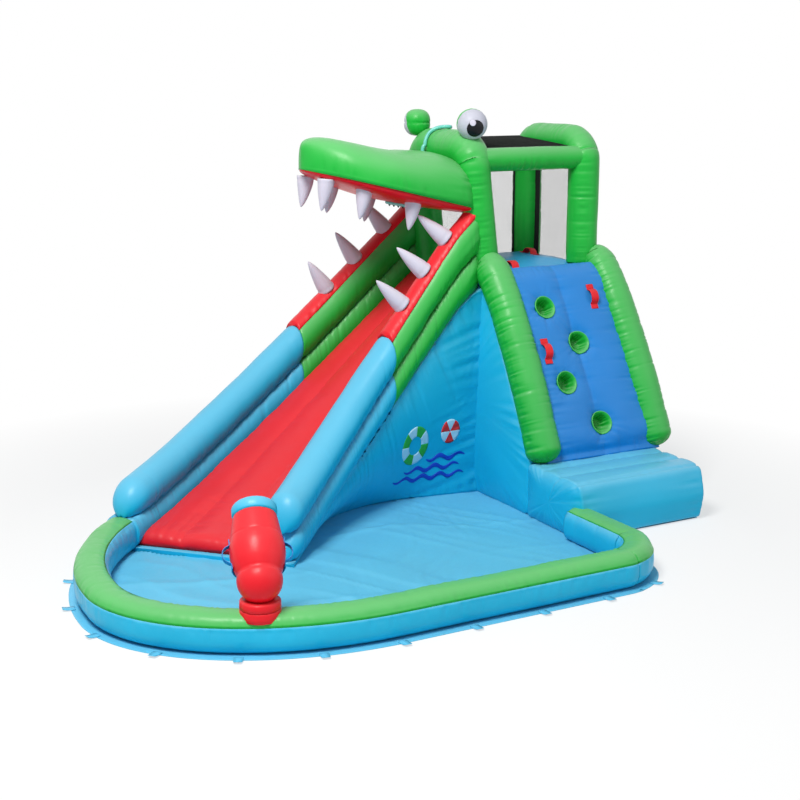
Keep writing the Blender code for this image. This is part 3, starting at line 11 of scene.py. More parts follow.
import bmesh
import bpy
import numpy as np
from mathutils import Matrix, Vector


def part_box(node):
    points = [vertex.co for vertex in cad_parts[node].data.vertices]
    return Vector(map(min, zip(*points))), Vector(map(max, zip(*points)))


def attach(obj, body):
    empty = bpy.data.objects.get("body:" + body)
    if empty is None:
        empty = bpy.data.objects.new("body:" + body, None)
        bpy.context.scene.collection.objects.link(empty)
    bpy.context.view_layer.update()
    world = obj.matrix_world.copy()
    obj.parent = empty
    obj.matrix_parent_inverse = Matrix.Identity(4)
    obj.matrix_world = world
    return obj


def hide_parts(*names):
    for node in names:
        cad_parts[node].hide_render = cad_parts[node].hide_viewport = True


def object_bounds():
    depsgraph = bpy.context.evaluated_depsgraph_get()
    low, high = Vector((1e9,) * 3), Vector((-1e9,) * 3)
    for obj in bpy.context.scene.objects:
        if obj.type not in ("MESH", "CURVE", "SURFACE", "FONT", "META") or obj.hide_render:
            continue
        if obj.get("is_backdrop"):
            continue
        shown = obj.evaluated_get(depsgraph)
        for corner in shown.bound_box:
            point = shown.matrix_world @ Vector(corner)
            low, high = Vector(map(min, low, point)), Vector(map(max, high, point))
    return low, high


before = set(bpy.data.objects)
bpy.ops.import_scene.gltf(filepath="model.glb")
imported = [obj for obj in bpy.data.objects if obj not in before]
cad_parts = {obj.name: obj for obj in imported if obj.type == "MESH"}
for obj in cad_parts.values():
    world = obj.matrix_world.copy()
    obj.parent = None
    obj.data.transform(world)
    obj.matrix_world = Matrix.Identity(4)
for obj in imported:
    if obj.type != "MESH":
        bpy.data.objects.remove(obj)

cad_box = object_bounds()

# %% [markdown]
# ## Camera, light and floor
# The camera looks down on the slide from in front of the pool, from well above eye level. A long lens was
# chosen because the photograph has nearly parallel edges. The light is one large soft lamp high on the
# left, with a weak one on the right and a plain pale sky, so that the upper sides of the chambers are
# bright and the undersides stay coloured.

# %% Camera
scene = bpy.context.scene
camera_data = bpy.data.cameras.new("camera")
camera_data.lens = 63.8
camera = bpy.data.objects.new("camera", camera_data)
camera.location = (-3.92762, -7.3605, 2.8)
camera.rotation_euler = (math.radians(76.9), 0.0, math.radians(-28.8))
scene.collection.objects.link(camera)
scene.camera = camera
scene.view_settings.view_transform = "Standard"
print("Camera at", tuple(camera.location), "lens", camera_data.lens)


# %% Node helpers
def feed(tree, node, inputs):
    """Give each input a value or another node's output."""
    for key, value in dict(inputs).items():
        if isinstance(value, bpy.types.NodeSocket):
            tree.links.new(value, node.inputs[key])
        else:
            node.inputs[key].default_value = value


def put(tree, kind, inputs=(), **settings):
    """A node with its settings and inputs."""
    made = tree.nodes.new(kind)
    for key, value in settings.items():
        setattr(made, key, value)
    feed(tree, made, inputs)
    return made


def worked(tree, operation, first, second):
    """The sum, product or other outcome of two values."""
    return put(tree, "ShaderNodeMath", {0: first, 1: second}, operation=operation).outputs[0]


def mapped(tree, value, low, high, to_low, to_high, **settings):
    """A value between low and high turned into one between two others."""
    inputs = {0: value, 1: low, 2: high, 3: to_low, 4: to_high}
    return put(tree, "ShaderNodeMapRange", inputs, **settings).outputs[0]


def seen_directly(tree):
    """One where the camera, a mirror or glass looks straight at the surface, and nought for its light."""
    path = put(tree, "ShaderNodeLightPath").outputs
    camera_or_mirror = worked(tree, "MAXIMUM", path["Is Camera Ray"], path["Is Glossy Ray"])
    return worked(tree, "MAXIMUM", camera_or_mirror, path["Is Transmission Ray"])


print("Node helpers ready")

# %% Sky and lamps
sky_tint, sky_strength = (0.90, 0.95, 1.0, 1), 0.30
plain_white = (1, 1, 1, 1)
lamp_aim = Vector((0.0, 0.0, 0.9))
world = bpy.data.worlds.new("pale sky")
scene.world = world
world.use_nodes = True
sky = world.node_tree
sky.nodes.clear()
sky_light = put(sky, "ShaderNodeBackground", {"Color": sky_tint, "Strength": sky_strength}).outputs[0]
sky_seen = put(sky, "ShaderNodeBackground", {"Color": plain_white, "Strength": 1.0}).outputs[0]
sky_mix = put(sky, "ShaderNodeMixShader", {0: seen_directly(sky), 1: sky_light, 2: sky_seen})
put(sky, "ShaderNodeOutputWorld", {"Surface": sky_mix.outputs[0]})


def lamp(name, place, size, power, colour):
    data = bpy.data.lights.new(name, "AREA")
    data.size, data.energy, data.color = size, power, colour
    made = bpy.data.objects.new(name, data)
    made.location = place
    made.rotation_euler = (lamp_aim - Vector(place)).to_track_quat("-Z", "Y").to_euler()
    scene.collection.objects.link(made)


lamp("key", (-3.6, -2.9, 7.4), size=2.6, power=680, colour=(1.0, 0.98, 0.95))
lamp("fill", (4.5, -6.0, 3.0), size=5.0, power=60, colour=(0.92, 0.96, 1.0))

# %% Floor
floor_half, floor_level = 30.0, -0.001
floor_tint = (0.86, 0.87, 0.88, 1)
paling_start, paling_end, near_paleness = 2.4, 4.2, 0.62
floor_mesh = bpy.data.meshes.new("floor")
corners = [(x * floor_half, y * floor_half, floor_level) for x, y in ((-1, -1), (1, -1), (1, 1), (-1, 1))]
floor_mesh.from_pydata(corners, [], [(0, 1, 2, 3)])
floor = bpy.data.objects.new("floor", floor_mesh)
scene.collection.objects.link(floor)
floor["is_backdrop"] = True
paint = bpy.data.materials.new("pale floor")
paint.use_nodes = True
tree = paint.node_tree
tree.nodes.clear()
diffuse = put(tree, "ShaderNodeBsdfDiffuse", {"Color": floor_tint})
glow = put(tree, "ShaderNodeEmission", {"Color": plain_white, "Strength": 1.0})
spot = put(tree, "ShaderNodeTexCoord").outputs["Object"]
from_middle = put(tree, "ShaderNodeVectorMath", {0: spot}, operation="LENGTH").outputs["Value"]
paleness = mapped(tree, from_middle, paling_start, paling_end, near_paleness, 1.0)
direct = worked(tree, "MULTIPLY", paleness, seen_directly(tree))
mixed = put(tree, "ShaderNodeMixShader", {0: direct, 1: diffuse.outputs[0], 2: glow.outputs[0]})
put(tree, "ShaderNodeOutputMaterial", {"Surface": mixed.outputs[0]})
floor_mesh.materials.append(paint)
print("Floor reaches", floor_half, "m each way")

# %% [markdown]
# ## Coated cloth
# All chambers are polyester with a vinyl coat: satin, with a faint basket weave, small crinkles from
# folding, and colour that has faded unevenly in the sun. Faces that look up are also painted paler, a
# painted sheen that stands in for the lamp's broad highlight on the tops. One node group holds all of
# that, so that each colour is a material with its own values. The weave follows the piece's own
# unwrapped length and width, and the fading follows its place, so that neighbours fade together.

# %% Coated cloth node group
weave_pitch = 0.004
patch_scale, scuff_scale, fold_scale = 1.9, 26.0, 17.0
# Pale grey that upward faces are mixed towards: painted sheen for the light on the tops.
painted_sheen_colour = (0.9, 0.9, 0.9, 1)


def noise(tree, place, scale, detail, distortion=0.0):
    inputs = {"Vector": place, "Scale": scale, "Detail": detail, "Distortion": distortion}
    return put(tree, "ShaderNodeTexNoise", inputs).outputs["Fac"]


def threads_along(tree, axis, coordinates):
    """Ridges at the weave's pitch. At a scale of one the texture repeats every pi / 10."""
    inputs = {"Vector": coordinates, "Scale": math.pi / 10 / weave_pitch}
    return put(tree, "ShaderNodeTexWave", inputs, bands_direction=axis).outputs["Fac"]


def add_sockets(tree):
    for name, kind, value in (
        ("Dye", "Color", (0.5, 0.5, 0.5, 1)),
        ("Fading", "Float", 0.05),
        ("Gloss spread", "Float", 0.40),
        ("Crinkle depth", "Float", 0.0008),
        ("Weave depth", "Float", 0.00008),
        ("Painted sheen", "Float", 0.13),
    ):
        made = tree.interface.new_socket(name, in_out="INPUT", socket_type="NodeSocket" + kind)
        made.default_value = value
    for name, kind in (("Colour", "Color"), ("Roughness", "Float"), ("Height", "Float")):
        tree.interface.new_socket(name, in_out="OUTPUT", socket_type="NodeSocket" + kind)


def coated_cloth_group():
    tree = bpy.data.node_groups.new("Coated cloth", "ShaderNodeTree")
    add_sockets(tree)
    given = tree.nodes.new("NodeGroupInput").outputs
    place = put(tree, "ShaderNodeTexCoord").outputs
    patches = noise(tree, place["Object"], patch_scale, 4.0)
    darkest = worked(tree, "SUBTRACT", 1.0, given["Fading"])
    palest = worked(tree, "ADD", 1.0, given["Fading"])
    faded = mapped(tree, patches, 0.3, 0.7, darkest, palest)
    colour = put(tree, "ShaderNodeHueSaturation", {"Value": faded, "Color": given["Dye"]}).outputs[0]
    # Faces that look up are mixed towards pale grey: painted sheen, the light on the tops painted into the
    # colour.
    facing = put(tree, "ShaderNodeSeparateXYZ", {0: place["Normal"]}).outputs["Z"]
    skyward = mapped(tree, facing, -0.1, 0.9, 0.0, 1.0, interpolation_type="SMOOTHSTEP")
    painted_sheen = worked(tree, "MULTIPLY", skyward, given["Painted sheen"])
    sheen_painted_colour = put(tree, "ShaderNodeMix", {0: painted_sheen, 6: colour, 7: painted_sheen_colour}, data_type="RGBA").outputs[2]
    scuffs = mapped(tree, noise(tree, place["Object"], scuff_scale, 5.0), 0.3, 0.7, -0.06, 0.06)
    rough = worked(tree, "ADD", given["Gloss spread"], scuffs)
    folds = noise(tree, place["Object"], fold_scale, 3.0, 0.7)
    crinkle = worked(tree, "MULTIPLY", folds, given["Crinkle depth"])
    threads = worked(tree, "MULTIPLY", *(threads_along(tree, axis, place["UV"]) for axis in "XY"))
    weave = worked(tree, "MULTIPLY", threads, given["Weave depth"])
    height = worked(tree, "ADD", crinkle, weave)
    put(tree, "NodeGroupOutput", {"Colour": sheen_painted_colour, "Roughness": rough, "Height": height})
    return tree


cloth_group = coated_cloth_group()
print("Group", cloth_group.name, "has", len(cloth_group.nodes), "nodes")


# %% Cloth colours
def cloth(
    slot, dye, spread=0.36, fading=0.05, crinkle=0.0008, weave=0.00008, coat=0.05, painted_sheen=0.13, name=None
):
    """A colour of coated cloth. Its slot names the part's own colour that it stands for."""
    made = bpy.data.materials.new(name or slot.replace("_", " "))
    made["slot"] = slot
    made.diffuse_color = (*dye, 1)
    made.use_nodes = True
    tree = made.node_tree
    values = {"Dye": (*dye, 1), "Fading": fading, "Gloss spread": spread}
    # The painted sheen value sets how much paler the upward faces are painted.
    values |= {"Crinkle depth": crinkle, "Weave depth": weave, "Painted sheen": painted_sheen}
    skin = put(tree, "ShaderNodeGroup", values, node_tree=cloth_group).outputs
    bump = put(tree, "ShaderNodeBump", {"Height": skin["Height"], "Distance": 1.0}).outputs["Normal"]
    looks = {"Base Color": skin["Colour"], "Roughness": skin["Roughness"], "Normal": bump}
    looks |= {"Specular IOR Level": 0.19, "Coat Weight": coat, "Coat Roughness": 0.22}
    feed(tree, tree.nodes["Principled BSDF"], looks)
    return made


# Each colour's painted sheen value says how far its upward faces are painted paler, in place of the lamp's
# highlight.
green = cloth("green_fabric", (0.012, 0.42, 0.045))
light_blue = cloth("light_blue_fabric", (0.008, 0.44, 0.70))
royal_blue = cloth("royal_blue_fabric", (0.003, 0.21, 0.62), painted_sheen=0.05)
red = cloth("red_fabric", (0.74, 0.006, 0.016), painted_sheen=0.03)
white = cloth("white_fabric", (0.62, 0.59, 0.70), spread=0.45, fading=0.02)
black = cloth("black_print", (0.006, 0.006, 0.008), spread=0.3, fading=0.02, crinkle=0.0002, painted_sheen=0.0)
uncoated = dict(crinkle=0.0, weave=0.0, coat=0.0, painted_sheen=0.0)
net_black = cloth("black_net", (0.010, 0.012, 0.011), spread=0.7, **uncoated)
deck_blue = cloth("light_blue_fabric", (0.004, 0.35, 0.72), painted_sheen=0.04, name="deck blue")
eye_white = cloth("white_fabric", (0.50, 0.51, 0.60), spread=0.45, fading=0.02, painted_sheen=0.05, name="eye white")
hose_finish = dict(spread=0.28, fading=0.03, crinkle=0.0, weave=0.0002, coat=0.3, painted_sheen=0.05)
hose_green = cloth("supply_hose", (0.14, 0.58, 0.52), **hose_finish)
print("Materials:", [m.name for m in bpy.data.materials])

# %% [markdown]
# ## A chamber as a grid of points
# Nearly every chamber is a ring of cloth carried along a line. A grid with one row per ring and one column
# per place round it holds such a skin, and numpy moves all its points at once. A sculpt or a cloth
# simulation could make the puckers too, but worked-out puckers stay exactly on their seams and come out the
# same each time.


# %% Smooth curves
def chance(place, seed):
    """A repeatable random share for each whole number."""
    return np.modf(np.abs(np.sin(place * 12.9898 + seed * 78.233) * 43758.5453))[0]


def eased(share):
    return share * share * (3 - 2 * share)


def bell(offset, width):
    """One at nought, and less on both sides of it."""
    return np.exp(-((offset / width) ** 2))


def ball_round(share):
    """Height of a quarter circle over a share of its foot."""
    return np.sqrt(1 - (1 - share) ** 2)


def fading_out(distance, reach):
    """One at nought, and nought from the reach on."""
    return np.clip(1 - distance / reach, 0, 1) ** 2


def wander(place, seed):
    """A smooth random curve from nought to one."""
    whole = np.floor(place)
    share = eased(place - whole)
    return chance(whole, seed) * (1 - share) + chance(whole + 1, seed) * share


def lumps(points, size, seed):
    """Soft random swells through space, from minus one to one."""
    cells = points / size
    whole = np.floor(cells)
    share = eased(cells - whole)
    total = 0.0
    for corner in np.ndindex(2, 2, 2):
        weight = np.prod(np.where(corner, share, 1 - share), axis=-1)
        total = total + weight * chance((whole + corner) @ (1.0, 57.0, 113.0), seed)
    return 2 * total - 1


print("Ten steps of a random curve:", np.round(wander(np.arange(0, 2, 0.2), 1), 2))


# %% Puckers along a seam
pucker_cell, valley_width, valley_power = 0.55, 0.7, 1.3


def creases(along, away, sizes, seed):
    """Sharp little valleys square to a seam, from the distances along it and away from it.

    The sizes are the valleys' spacing along the seam, their reach away from it and their depth.
    """
    spacing, reach, depth = sizes
    cells = along / (spacing * pucker_cell)
    level = 2 * wander(cells, seed) - 1
    sharp = np.clip(1 - np.abs(level) / valley_width, 0, 1) ** valley_power
    span = reach * (0.30 + 1.2 * wander(cells * 0.8, seed + 3) ** 1.5)
    strength = 0.35 + 0.65 * wander(cells * 0.5, seed + 7)
    return -depth * strength * sharp * bell(np.maximum(away, 0), span)


def groove(away, width, depth):
    """The valley that a row of stitches pulls into the cloth."""
    return -depth * np.exp(-((np.abs(away) / width) ** 1.5))


def from_edges(over, shift):
    """Distance to a strip's nearer edge, and a shift along it so that both edges' puckers differ."""
    return np.minimum(over, over[..., -1:] - over), np.where(over < over[..., -1:] / 2, 0, shift)


deepest = creases(np.linspace(0, 1, 200), 0.0, (0.03, 0.05, 0.004), 2).min()
print("Deepest crease of 4 mm:", round(float(deepest) * 1000, 2), "mm")


# %% Lines and rings
def unit(vector):
    """The vector, or each row of a table, at a length of one."""
    vector = np.asarray(vector, float)
    return vector / np.linalg.norm(vector, axis=-1, keepdims=True)


def round_angles(count):
    return np.linspace(0, 2 * math.pi, count, endpoint=False)


def spokes(side, other, angle):
    """Directions round an axis, from two that are square to it."""
    return side[..., None, :] * np.cos(angle)[:, None] + other[..., None, :] * np.sin(angle)[:, None]


def squared(wave, power):
    """A sine or cosine with a squarer swing, the lower the power."""
    return np.sign(wave) * np.abs(wave) ** power


def distances_along(line):
    return np.concatenate([[0], np.cumsum(np.linalg.norm(np.diff(line, axis=0), axis=1))])


def read_off(marks, lengths, line):
    """The line's columns at some marks, from the lengths of its own points."""
    return np.stack([np.interp(marks, lengths, column) for column in line.T], axis=-1)


def smooth_line(route, step):
    """An evenly stepped smooth curve through a route's points. Extra columns, such as a swell, go along."""
    route = np.asarray(route, float)
    padded = np.vstack([2 * route[0] - route[1], route, 2 * route[-1] - route[-2]])
    t = np.linspace(0, 1, 12, endpoint=False)[:, None]
    runs = []
    for i in range(len(route) - 1):
        a, b, c, d = padded[i : i + 4]
        bend, turn = 2 * a - 5 * b + 4 * c - d, 3 * b - a - 3 * c + d
        runs.append(b + ((c - a) * t + bend * t**2 + turn * t**3) / 2)
    line = np.vstack(runs + [route[-1:]])
    lengths = distances_along(line[:, :3])
    marks = np.linspace(0, lengths[-1], max(int(lengths[-1] / step), 2) + 1)
    return marks, read_off(marks, lengths, line)


print("Steps along a bend:", len(smooth_line([(0, 0, 0), (0, 0, 1), (0, 1, 1)], 0.1)[0]))


# %% Grids to meshes
def outward(grid):
    """The direction square to the cloth at each point."""
    around = np.roll(grid, -1, 1) - np.roll(grid, 1, 1)
    normal = np.cross(np.gradient(grid, axis=0), around)
    normal /= np.maximum(np.linalg.norm(normal, axis=2, keepdims=True), 1e-12)
    inside_out = (normal * (grid - grid.mean(axis=1, keepdims=True))).sum() < 0
    return -normal if inside_out else normal


def raised(grid, height):
    """The grid with its points moved out by the heights."""
    return grid + outward(grid) * np.broadcast_to(height, grid.shape[:2])[..., None]


def four_corners(table):
    """The table's entries at the corners of each face between its rows and columns."""
    return np.stack([table[:-1, :-1], table[:-1, 1:], table[1:, 1:], table[1:, :-1]], axis=2)


def grid_faces(rows, columns, ring):
    """The faces of a tube with two caps, or of a tube whose ends meet in a ring."""
    index = np.arange(rows * columns).reshape(rows, columns)
    joined = np.vstack([index, index[:1]]) if ring else index
    faces = four_corners(np.hstack([joined, joined[:, :1]])).reshape(-1, 4).tolist()
    return faces if ring else faces + [index[0, ::-1].tolist(), index[-1].tolist()]


def grid_lengths(grid, ring):
    """How far along and round each face corner lies, in metres, with the caps at nought."""
    along = np.linalg.norm(np.diff(grid, axis=0, append=grid[:1] if ring else grid[-1:]), axis=2).mean(axis=1)
    around = np.linalg.norm(np.diff(grid, axis=1, append=grid[:, :1]), axis=2).max(axis=0)
    u = np.concatenate([[0], np.cumsum(along)])[: grid.shape[0] + ring]
    v = np.concatenate([[0], np.cumsum(around)])
    lengths = four_corners(np.stack(np.meshgrid(u, v, indexing="ij"), axis=-1)).reshape(-1, 2)
    return lengths if ring else np.vstack([lengths, np.zeros((2 * grid.shape[1], 2))])


print("Faces of a 3 by 4 tube:", len(grid_faces(3, 4, ring=False)))

# %% Pieces
tower_depth = 0.935
tower_far_reach = 0.42
deck_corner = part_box("tower_deck")[1]
tower_corner = np.array((deck_corner.x - tower_depth, deck_corner.y - tower_far_reach, 0.0))
up_axis = np.array((0, 0, 1.0))
both_sides = ((1, "near"), (-1, "far"))
finished = []


def hang(name, mesh, finish, node, body="slide"):
    """Hang a mesh on its body, in its colour and in the place of its CAD node."""
    mesh.shade_smooth()
    mesh.materials.append(finish)
    obj = bpy.data.objects.new(name, mesh)
    scene.collection.objects.link(obj)
    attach(obj, body)
    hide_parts(node)
    finished.append(obj)
    return obj


def piece(node, grids, finish, name=None, body="slide", ring=False):
    """A mesh from one or more grids, named after its node unless it has a name of its own."""
    points, faces, lengths = [], [], []
    for grid in [grids] if isinstance(grids, np.ndarray) else grids:
        start = sum(len(p) for p in points)
        faces += [[start + i for i in face] for face in grid_faces(*grid.shape[:2], ring)]
        points.append(grid.reshape(-1, 3) + tower_corner)
        lengths.append(grid_lengths(grid, ring))
    name = name or node + "_skin"
    mesh = bpy.data.meshes.new(name)
    mesh.from_pydata(np.concatenate(points).tolist(), [], faces)
    lengths = np.concatenate(lengths).astype(np.float32)
    mesh.uv_layers.new(name="UVMap").data.foreach_set("uv", lengths.ravel())
    bm = bmesh.new()
    bm.from_mesh(mesh)
    bmesh.ops.recalc_face_normals(bm, faces=bm.faces)
    bm.to_mesh(mesh)
    bm.free()
    return hang(name, mesh, finish, node, body)


print("Tower's inner corner in the frame:", np.round(tower_corner, 4))

# %% [markdown]
# ## The slide's line
# The chute, its walls, the side panels, the gum bands and the lower teeth all follow one bent line down
# from the deck. So the line's plan, its height and its widths come first, as functions of the distance
# along it, and every piece on the slide reads them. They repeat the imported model's own sizes.

# %% Slide sizes
deck_height = 1.50
slide_lead, slide_bend_radius, slide_length = 0.21, 2.75, 2.36
slide_end_height, slide_power, slide_lip = 0.12, 1.68, 0.085
channel_top, channel_end = 0.785, 1.01
bed_thickness, bed_channel_depth, bed_channels = 0.09, 0.012, 3
lobe_half_width, lobe_fullness, lobe_end_round = 0.115, 1.4, 0.14
rise_top, rise_end, rise_power = 0.42, 0.29, 1.5
green_share = {1: 0.365, -1: 0.385}
overrun = 0.02
tube_start = 0.03
fine = 0.008


def slide_line(distance):
    """The line's middle in plan, and the level direction across it towards the near side."""
    turn = np.maximum(distance - slide_lead, 0.0) / slide_bend_radius
    x = -np.minimum(distance, slide_lead) - slide_bend_radius * np.sin(turn)
    y = -slide_bend_radius * (1 - np.cos(turn))
    return np.stack([x, y, 0 * x], -1), np.stack([np.sin(turn), -np.cos(turn), 0 * x], -1)


def bed_height(distance):
    d = np.maximum(distance, 0.0)
    run = d - slide_lip * (1 - np.exp(-d / slide_lip))
    share = np.minimum(run / (slide_length - slide_lip), 1.0)
    return slide_end_height + (deck_height - slide_end_height) * (1 - share) ** slide_power


def channel_half(distance):
    return (channel_top + (channel_end - channel_top) * distance / slide_length) / 2


def lobe_half(distance):
    share = np.clip(distance / slide_length, 0.0, 1.0)
    rise = rise_end + (rise_top - rise_end) * (1 - share) ** rise_power
    return (rise + bed_thickness) / (3 + lobe_fullness)


def on_slide(distance, sideways, height):
    """Grid of points from distances down the slide, reaches towards the near side and heights."""
    centre, across = slide_line(distance)
    grid = centre[:, None] + across[:, None] * sideways[..., None]
    grid[..., 2] = height
    return grid


def stops(start, end, step=fine):
    return np.linspace(start, end, max(int(round((end - start) / step)), 1) + 1)


print("Chute drops from", deck_height, "to", round(float(bed_height(np.array(slide_length))), 3), "m")

# %% [markdown]
# ## Wall tubes
# Each wall is two fat tubes, one on the other, green near the head and blue below. They are sewn flat to
# each other, so their section is round with flat sides, and the stitching gathers the cloth into puckers on
# both sides of the seam. Where the green ends, another seam runs round the tube.

# %% Wall tubes
seam_puckers, long_puckers = (0.036, 0.065, 0.010), (0.10, 0.14, 0.004)
border_groove, border_puckers = (0.008, 0.003), (0.03, 0.04, 0.004)
post_seam, post_puckers, post_reach, post_squeeze = 0.10, (0.034, 0.08, 0.008), 0.11, 0.32


def rounded_stops(start, end):
    bend = np.sin(np.linspace(0, math.pi / 2, 12))[1:-1]
    return np.concatenate([stops(start, end - lobe_end_round), end - lobe_end_round * (1 - bend)])


def wall_height(side, level, distance, angle, tall, half, seed):
    """How far a wall tube's puckers pull it in at each point."""
    along = distance * 1.2 + np.where(np.cos(angle) > 0, 0, 40.0)
    round_it = angle * lobe_half_width + 0 * half
    height = creases(along, tall + half, seam_puckers, seed)
    if level == 0:
        height += creases(along, half - tall, seam_puckers, seed)
    else:
        height += creases(along, tall + half, long_puckers, seed + 2)
    beside = np.abs(distance - slide_length * green_share[side])
    height += groove(beside, *border_groove) + creases(round_it, beside, border_puckers, seed + 4)
    return height + creases(round_it, distance - post_seam, post_puckers, seed + 6)


def wall_tube(side, level, start, end, rounded):
    distance = rounded_stops(start, end) if rounded else stops(start, end)
    half = lobe_half(distance)[:, None]
    angle = round_angles(44)
    top = half if level == 0 else half * lobe_fullness
    tall = np.clip(half * lobe_fullness * np.sin(angle), -half, top)
    left = np.clip((end - distance) / lobe_end_round, 0.0, 1.0)[:, None] if rounded else 1.0
    swell = ball_round(left)
    into_post = fading_out(distance - tube_start, post_reach)[:, None] * (np.cos(angle) > 0)
    out = lobe_half_width * np.cos(angle) * swell * (1 - post_squeeze * into_post)
    base = bed_height(distance)[:, None] - bed_thickness + half * 2 * level
    grid = on_slide(distance, side * (channel_half(distance)[:, None] + out), base + (tall + half) * swell)
    seed = 11 * side + 5 * level + 30
    height = wall_height(side, level, distance[:, None], angle, tall, half, seed)
    return raised(grid, height + 0.0025 * lumps(grid, 0.16, seed))


for side, side_name in both_sides:
    border = slide_length * green_share[side]
    for level, level_name in ((0, "lower"), (1, "upper")):
        stem = f"{side_name}_{level_name}_tube_"
        rounded = side > 0 or level == 1
        piece(stem + "green", wall_tube(side, level, tube_start, border, False), green)
        piece(stem + "blue", wall_tube(side, level, border, slide_length, rounded), light_blue)
print("Wall tubes:", len(finished))

# %% [markdown]
# ## Side panels and the red bed
# Under the walls hang big blue panels that bulge with air. Their longest puckers run down from the seam
# under the wall and out of the corner by the tower, where the cloth is pulled most. The bed is a red mat
# sewn in three long channels. Both are sections carried down the slide's line.

# %% Side panels
panel_puff, panel_setback, panel_setback_top = 0.06, 0.19, 0.05
ground_gap = 0.0045
body_start, near_rows, far_rows, across_rows = -0.04, 64, 26, 8
hanging_puckers = ((0.040, 0.14, 0.009), (0.085, 0.36, 0.012))
corner_place, corner_puckers = 0.05, ((0.040, 0.18, 0.009), (0.095, 0.42, 0.010))
hem_puckers = (0.06, 0.09, 0.006)


def panel_side(distance, side, count):
    """Outward reach and height of points up a side panel."""
    up = np.linspace(0, 1, count)
    share = np.maximum(distance, 0)[:, None] / slide_length
    top = (bed_height(distance) - bed_thickness)[:, None]
    reach = channel_half(np.maximum(distance, 0))[:, None] + lobe_half_width * math.cos(math.pi / 4)
    setback = 0.0
    if side > 0:
        setback = panel_setback_top + panel_setback * np.sin(math.pi * np.minimum(share / 0.95, 1)) ** 1.5
        setback = setback * np.minimum((1 - share) * 4, 1.0)
    puff = np.minimum(panel_puff, top * 0.16) * np.sin(math.pi * np.minimum(share * 0.85 + 0.15, 1.0))
    out = reach - setback * (1 - up) ** 1.3 + puff * np.sin(math.pi * up)
    return side * out, ground_gap + (top - ground_gap) * up


def panel_height(d, tall, grid, seed):
    """Puckers from the seam under the wall, from the tower's corner and along the ground."""
    below = tall.max(axis=1, keepdims=True) - tall
    skew = d + 0.35 * below
    height = creases(skew, below, hanging_puckers[0], seed)
    height += creases(skew, below, hanging_puckers[1], seed + 1)
    height += creases(tall + 0.15 * d, d - corner_place, corner_puckers[0], seed + 2)
    height += creases(tall + 0.25 * d, d - corner_place, corner_puckers[1], seed + 4)
    height += creases(d, tall, hem_puckers, seed + 3) + 0.006 * lumps(grid, 0.30, seed)
    return height * np.minimum(tall.max(axis=1, keepdims=True) / 0.5, 1.0)


def body_skin():
    distance = stops(body_start, slide_length, 0.012)
    near, near_tall = panel_side(distance, 1, near_rows)
    far, far_tall = (table[:, ::-1] for table in panel_side(distance, -1, far_rows))
    across = np.linspace(0.9, -0.9, across_rows) * near[:, -1:]
    top = np.repeat(near_tall[:, -1:], across_rows, axis=1)
    grid = on_slide(distance, np.hstack([near, across, far]), np.hstack([near_tall, top, far_tall]))
    height = np.zeros(grid.shape[:2])
    for columns, tall, seed in ((slice(0, near_rows), near_tall, 61), (slice(-far_rows, None), far_tall, 71)):
        height[:, columns] = panel_height(distance[:, None], tall, grid[:, columns], seed)
    height[[0, -1]] = 0
    return raised(grid, height)


body = piece("slide_body", body_skin(), light_blue)
print("Side panels:", len(body.data.polygons), "faces")

# %% Red bed
bed_end = slide_length * 0.985
bed_columns = 73
bed_edge_share, bed_edge_drop, bed_end_round, bed_end_drop = 0.05, 0.02, 0.08, 0.05
channel_puckers, foot_puckers = (0.045, 0.08, 0.008), (0.06, 0.25, 0.008)


def to_channel_seam(across, width, count):
    """Distance to the nearest of the seams that part a mat into channels."""
    return np.abs((across + 0.5) % 1 - 0.5) * width / count


def bed_skin():
    distance = stops(0.0, bed_end, 0.014)
    half = (channel_half(distance) - lobe_half_width * 0.75)[:, None]
    across = np.linspace(1, -1, bed_columns)
    channel = np.linspace(0, bed_channels, bed_columns)
    ridge = np.abs(np.sin(math.pi * channel)) ** 0.6
    last = np.clip((bed_end - distance) / bed_end_round, 0, 1)[:, None]
    edge = np.clip((np.abs(across) - 1 + bed_edge_share) / bed_edge_share, 0, 1)
    top = bed_height(distance)[:, None] - bed_channel_depth * (1 - ridge) - bed_edge_drop * edge**2
    top = top - bed_end_drop * (1 - ball_round(last))
    side = half * across
    grid = on_slide(distance, side, top)
    along = distance[:, None] + 9 * np.round(channel)
    height = creases(along, to_channel_seam(channel, 2 * half, bed_channels), channel_puckers, 81)
    height = height + creases(side + 3, (slide_length - distance)[:, None], foot_puckers, 84)
    grid = grid + up_axis * (height + 0.004 * lumps(grid, 0.12, 85))[..., None]
    bottom = bed_height(distance)[:, None] - bed_thickness + 0.001
    under = on_slide(distance, half * np.linspace(-0.92, 0.92, 4), np.repeat(bottom, 4, axis=1))
    return np.concatenate([grid, under], axis=1)


bed = piece("slide_bed", bed_skin(), red)
print("Bed:", len(bed.data.polygons), "faces")

# %% [markdown]
# ## Gum bands
# A red band lies along the crown of each green wall tube and carries the lower teeth. It is a padded strip
# sewn down along both edges, so it is thin at the edges and full in the middle, with puckers at the
# stitching.

# %% Gum bands
gum_start_angle, gum_sweep, gum_fullness, gum_sink = math.radians(50), math.radians(75), 0.023, -0.01
gum_puckers = (0.032, 0.05, 0.007)
gum_lift, gum_lift_reach, gum_squeeze = 0.070, 0.16, 0.34


def lobe_crown(distance, side):
    """Middle of the upper tube's section, its outward direction and its half height."""
    centre, across = slide_line(distance)
    centre = centre + across * side * channel_half(distance)[..., None]
    half = lobe_half(distance)
    centre[..., 2] = bed_height(distance) - bed_thickness + half * 3
    return centre, across * side, half * lobe_fullness


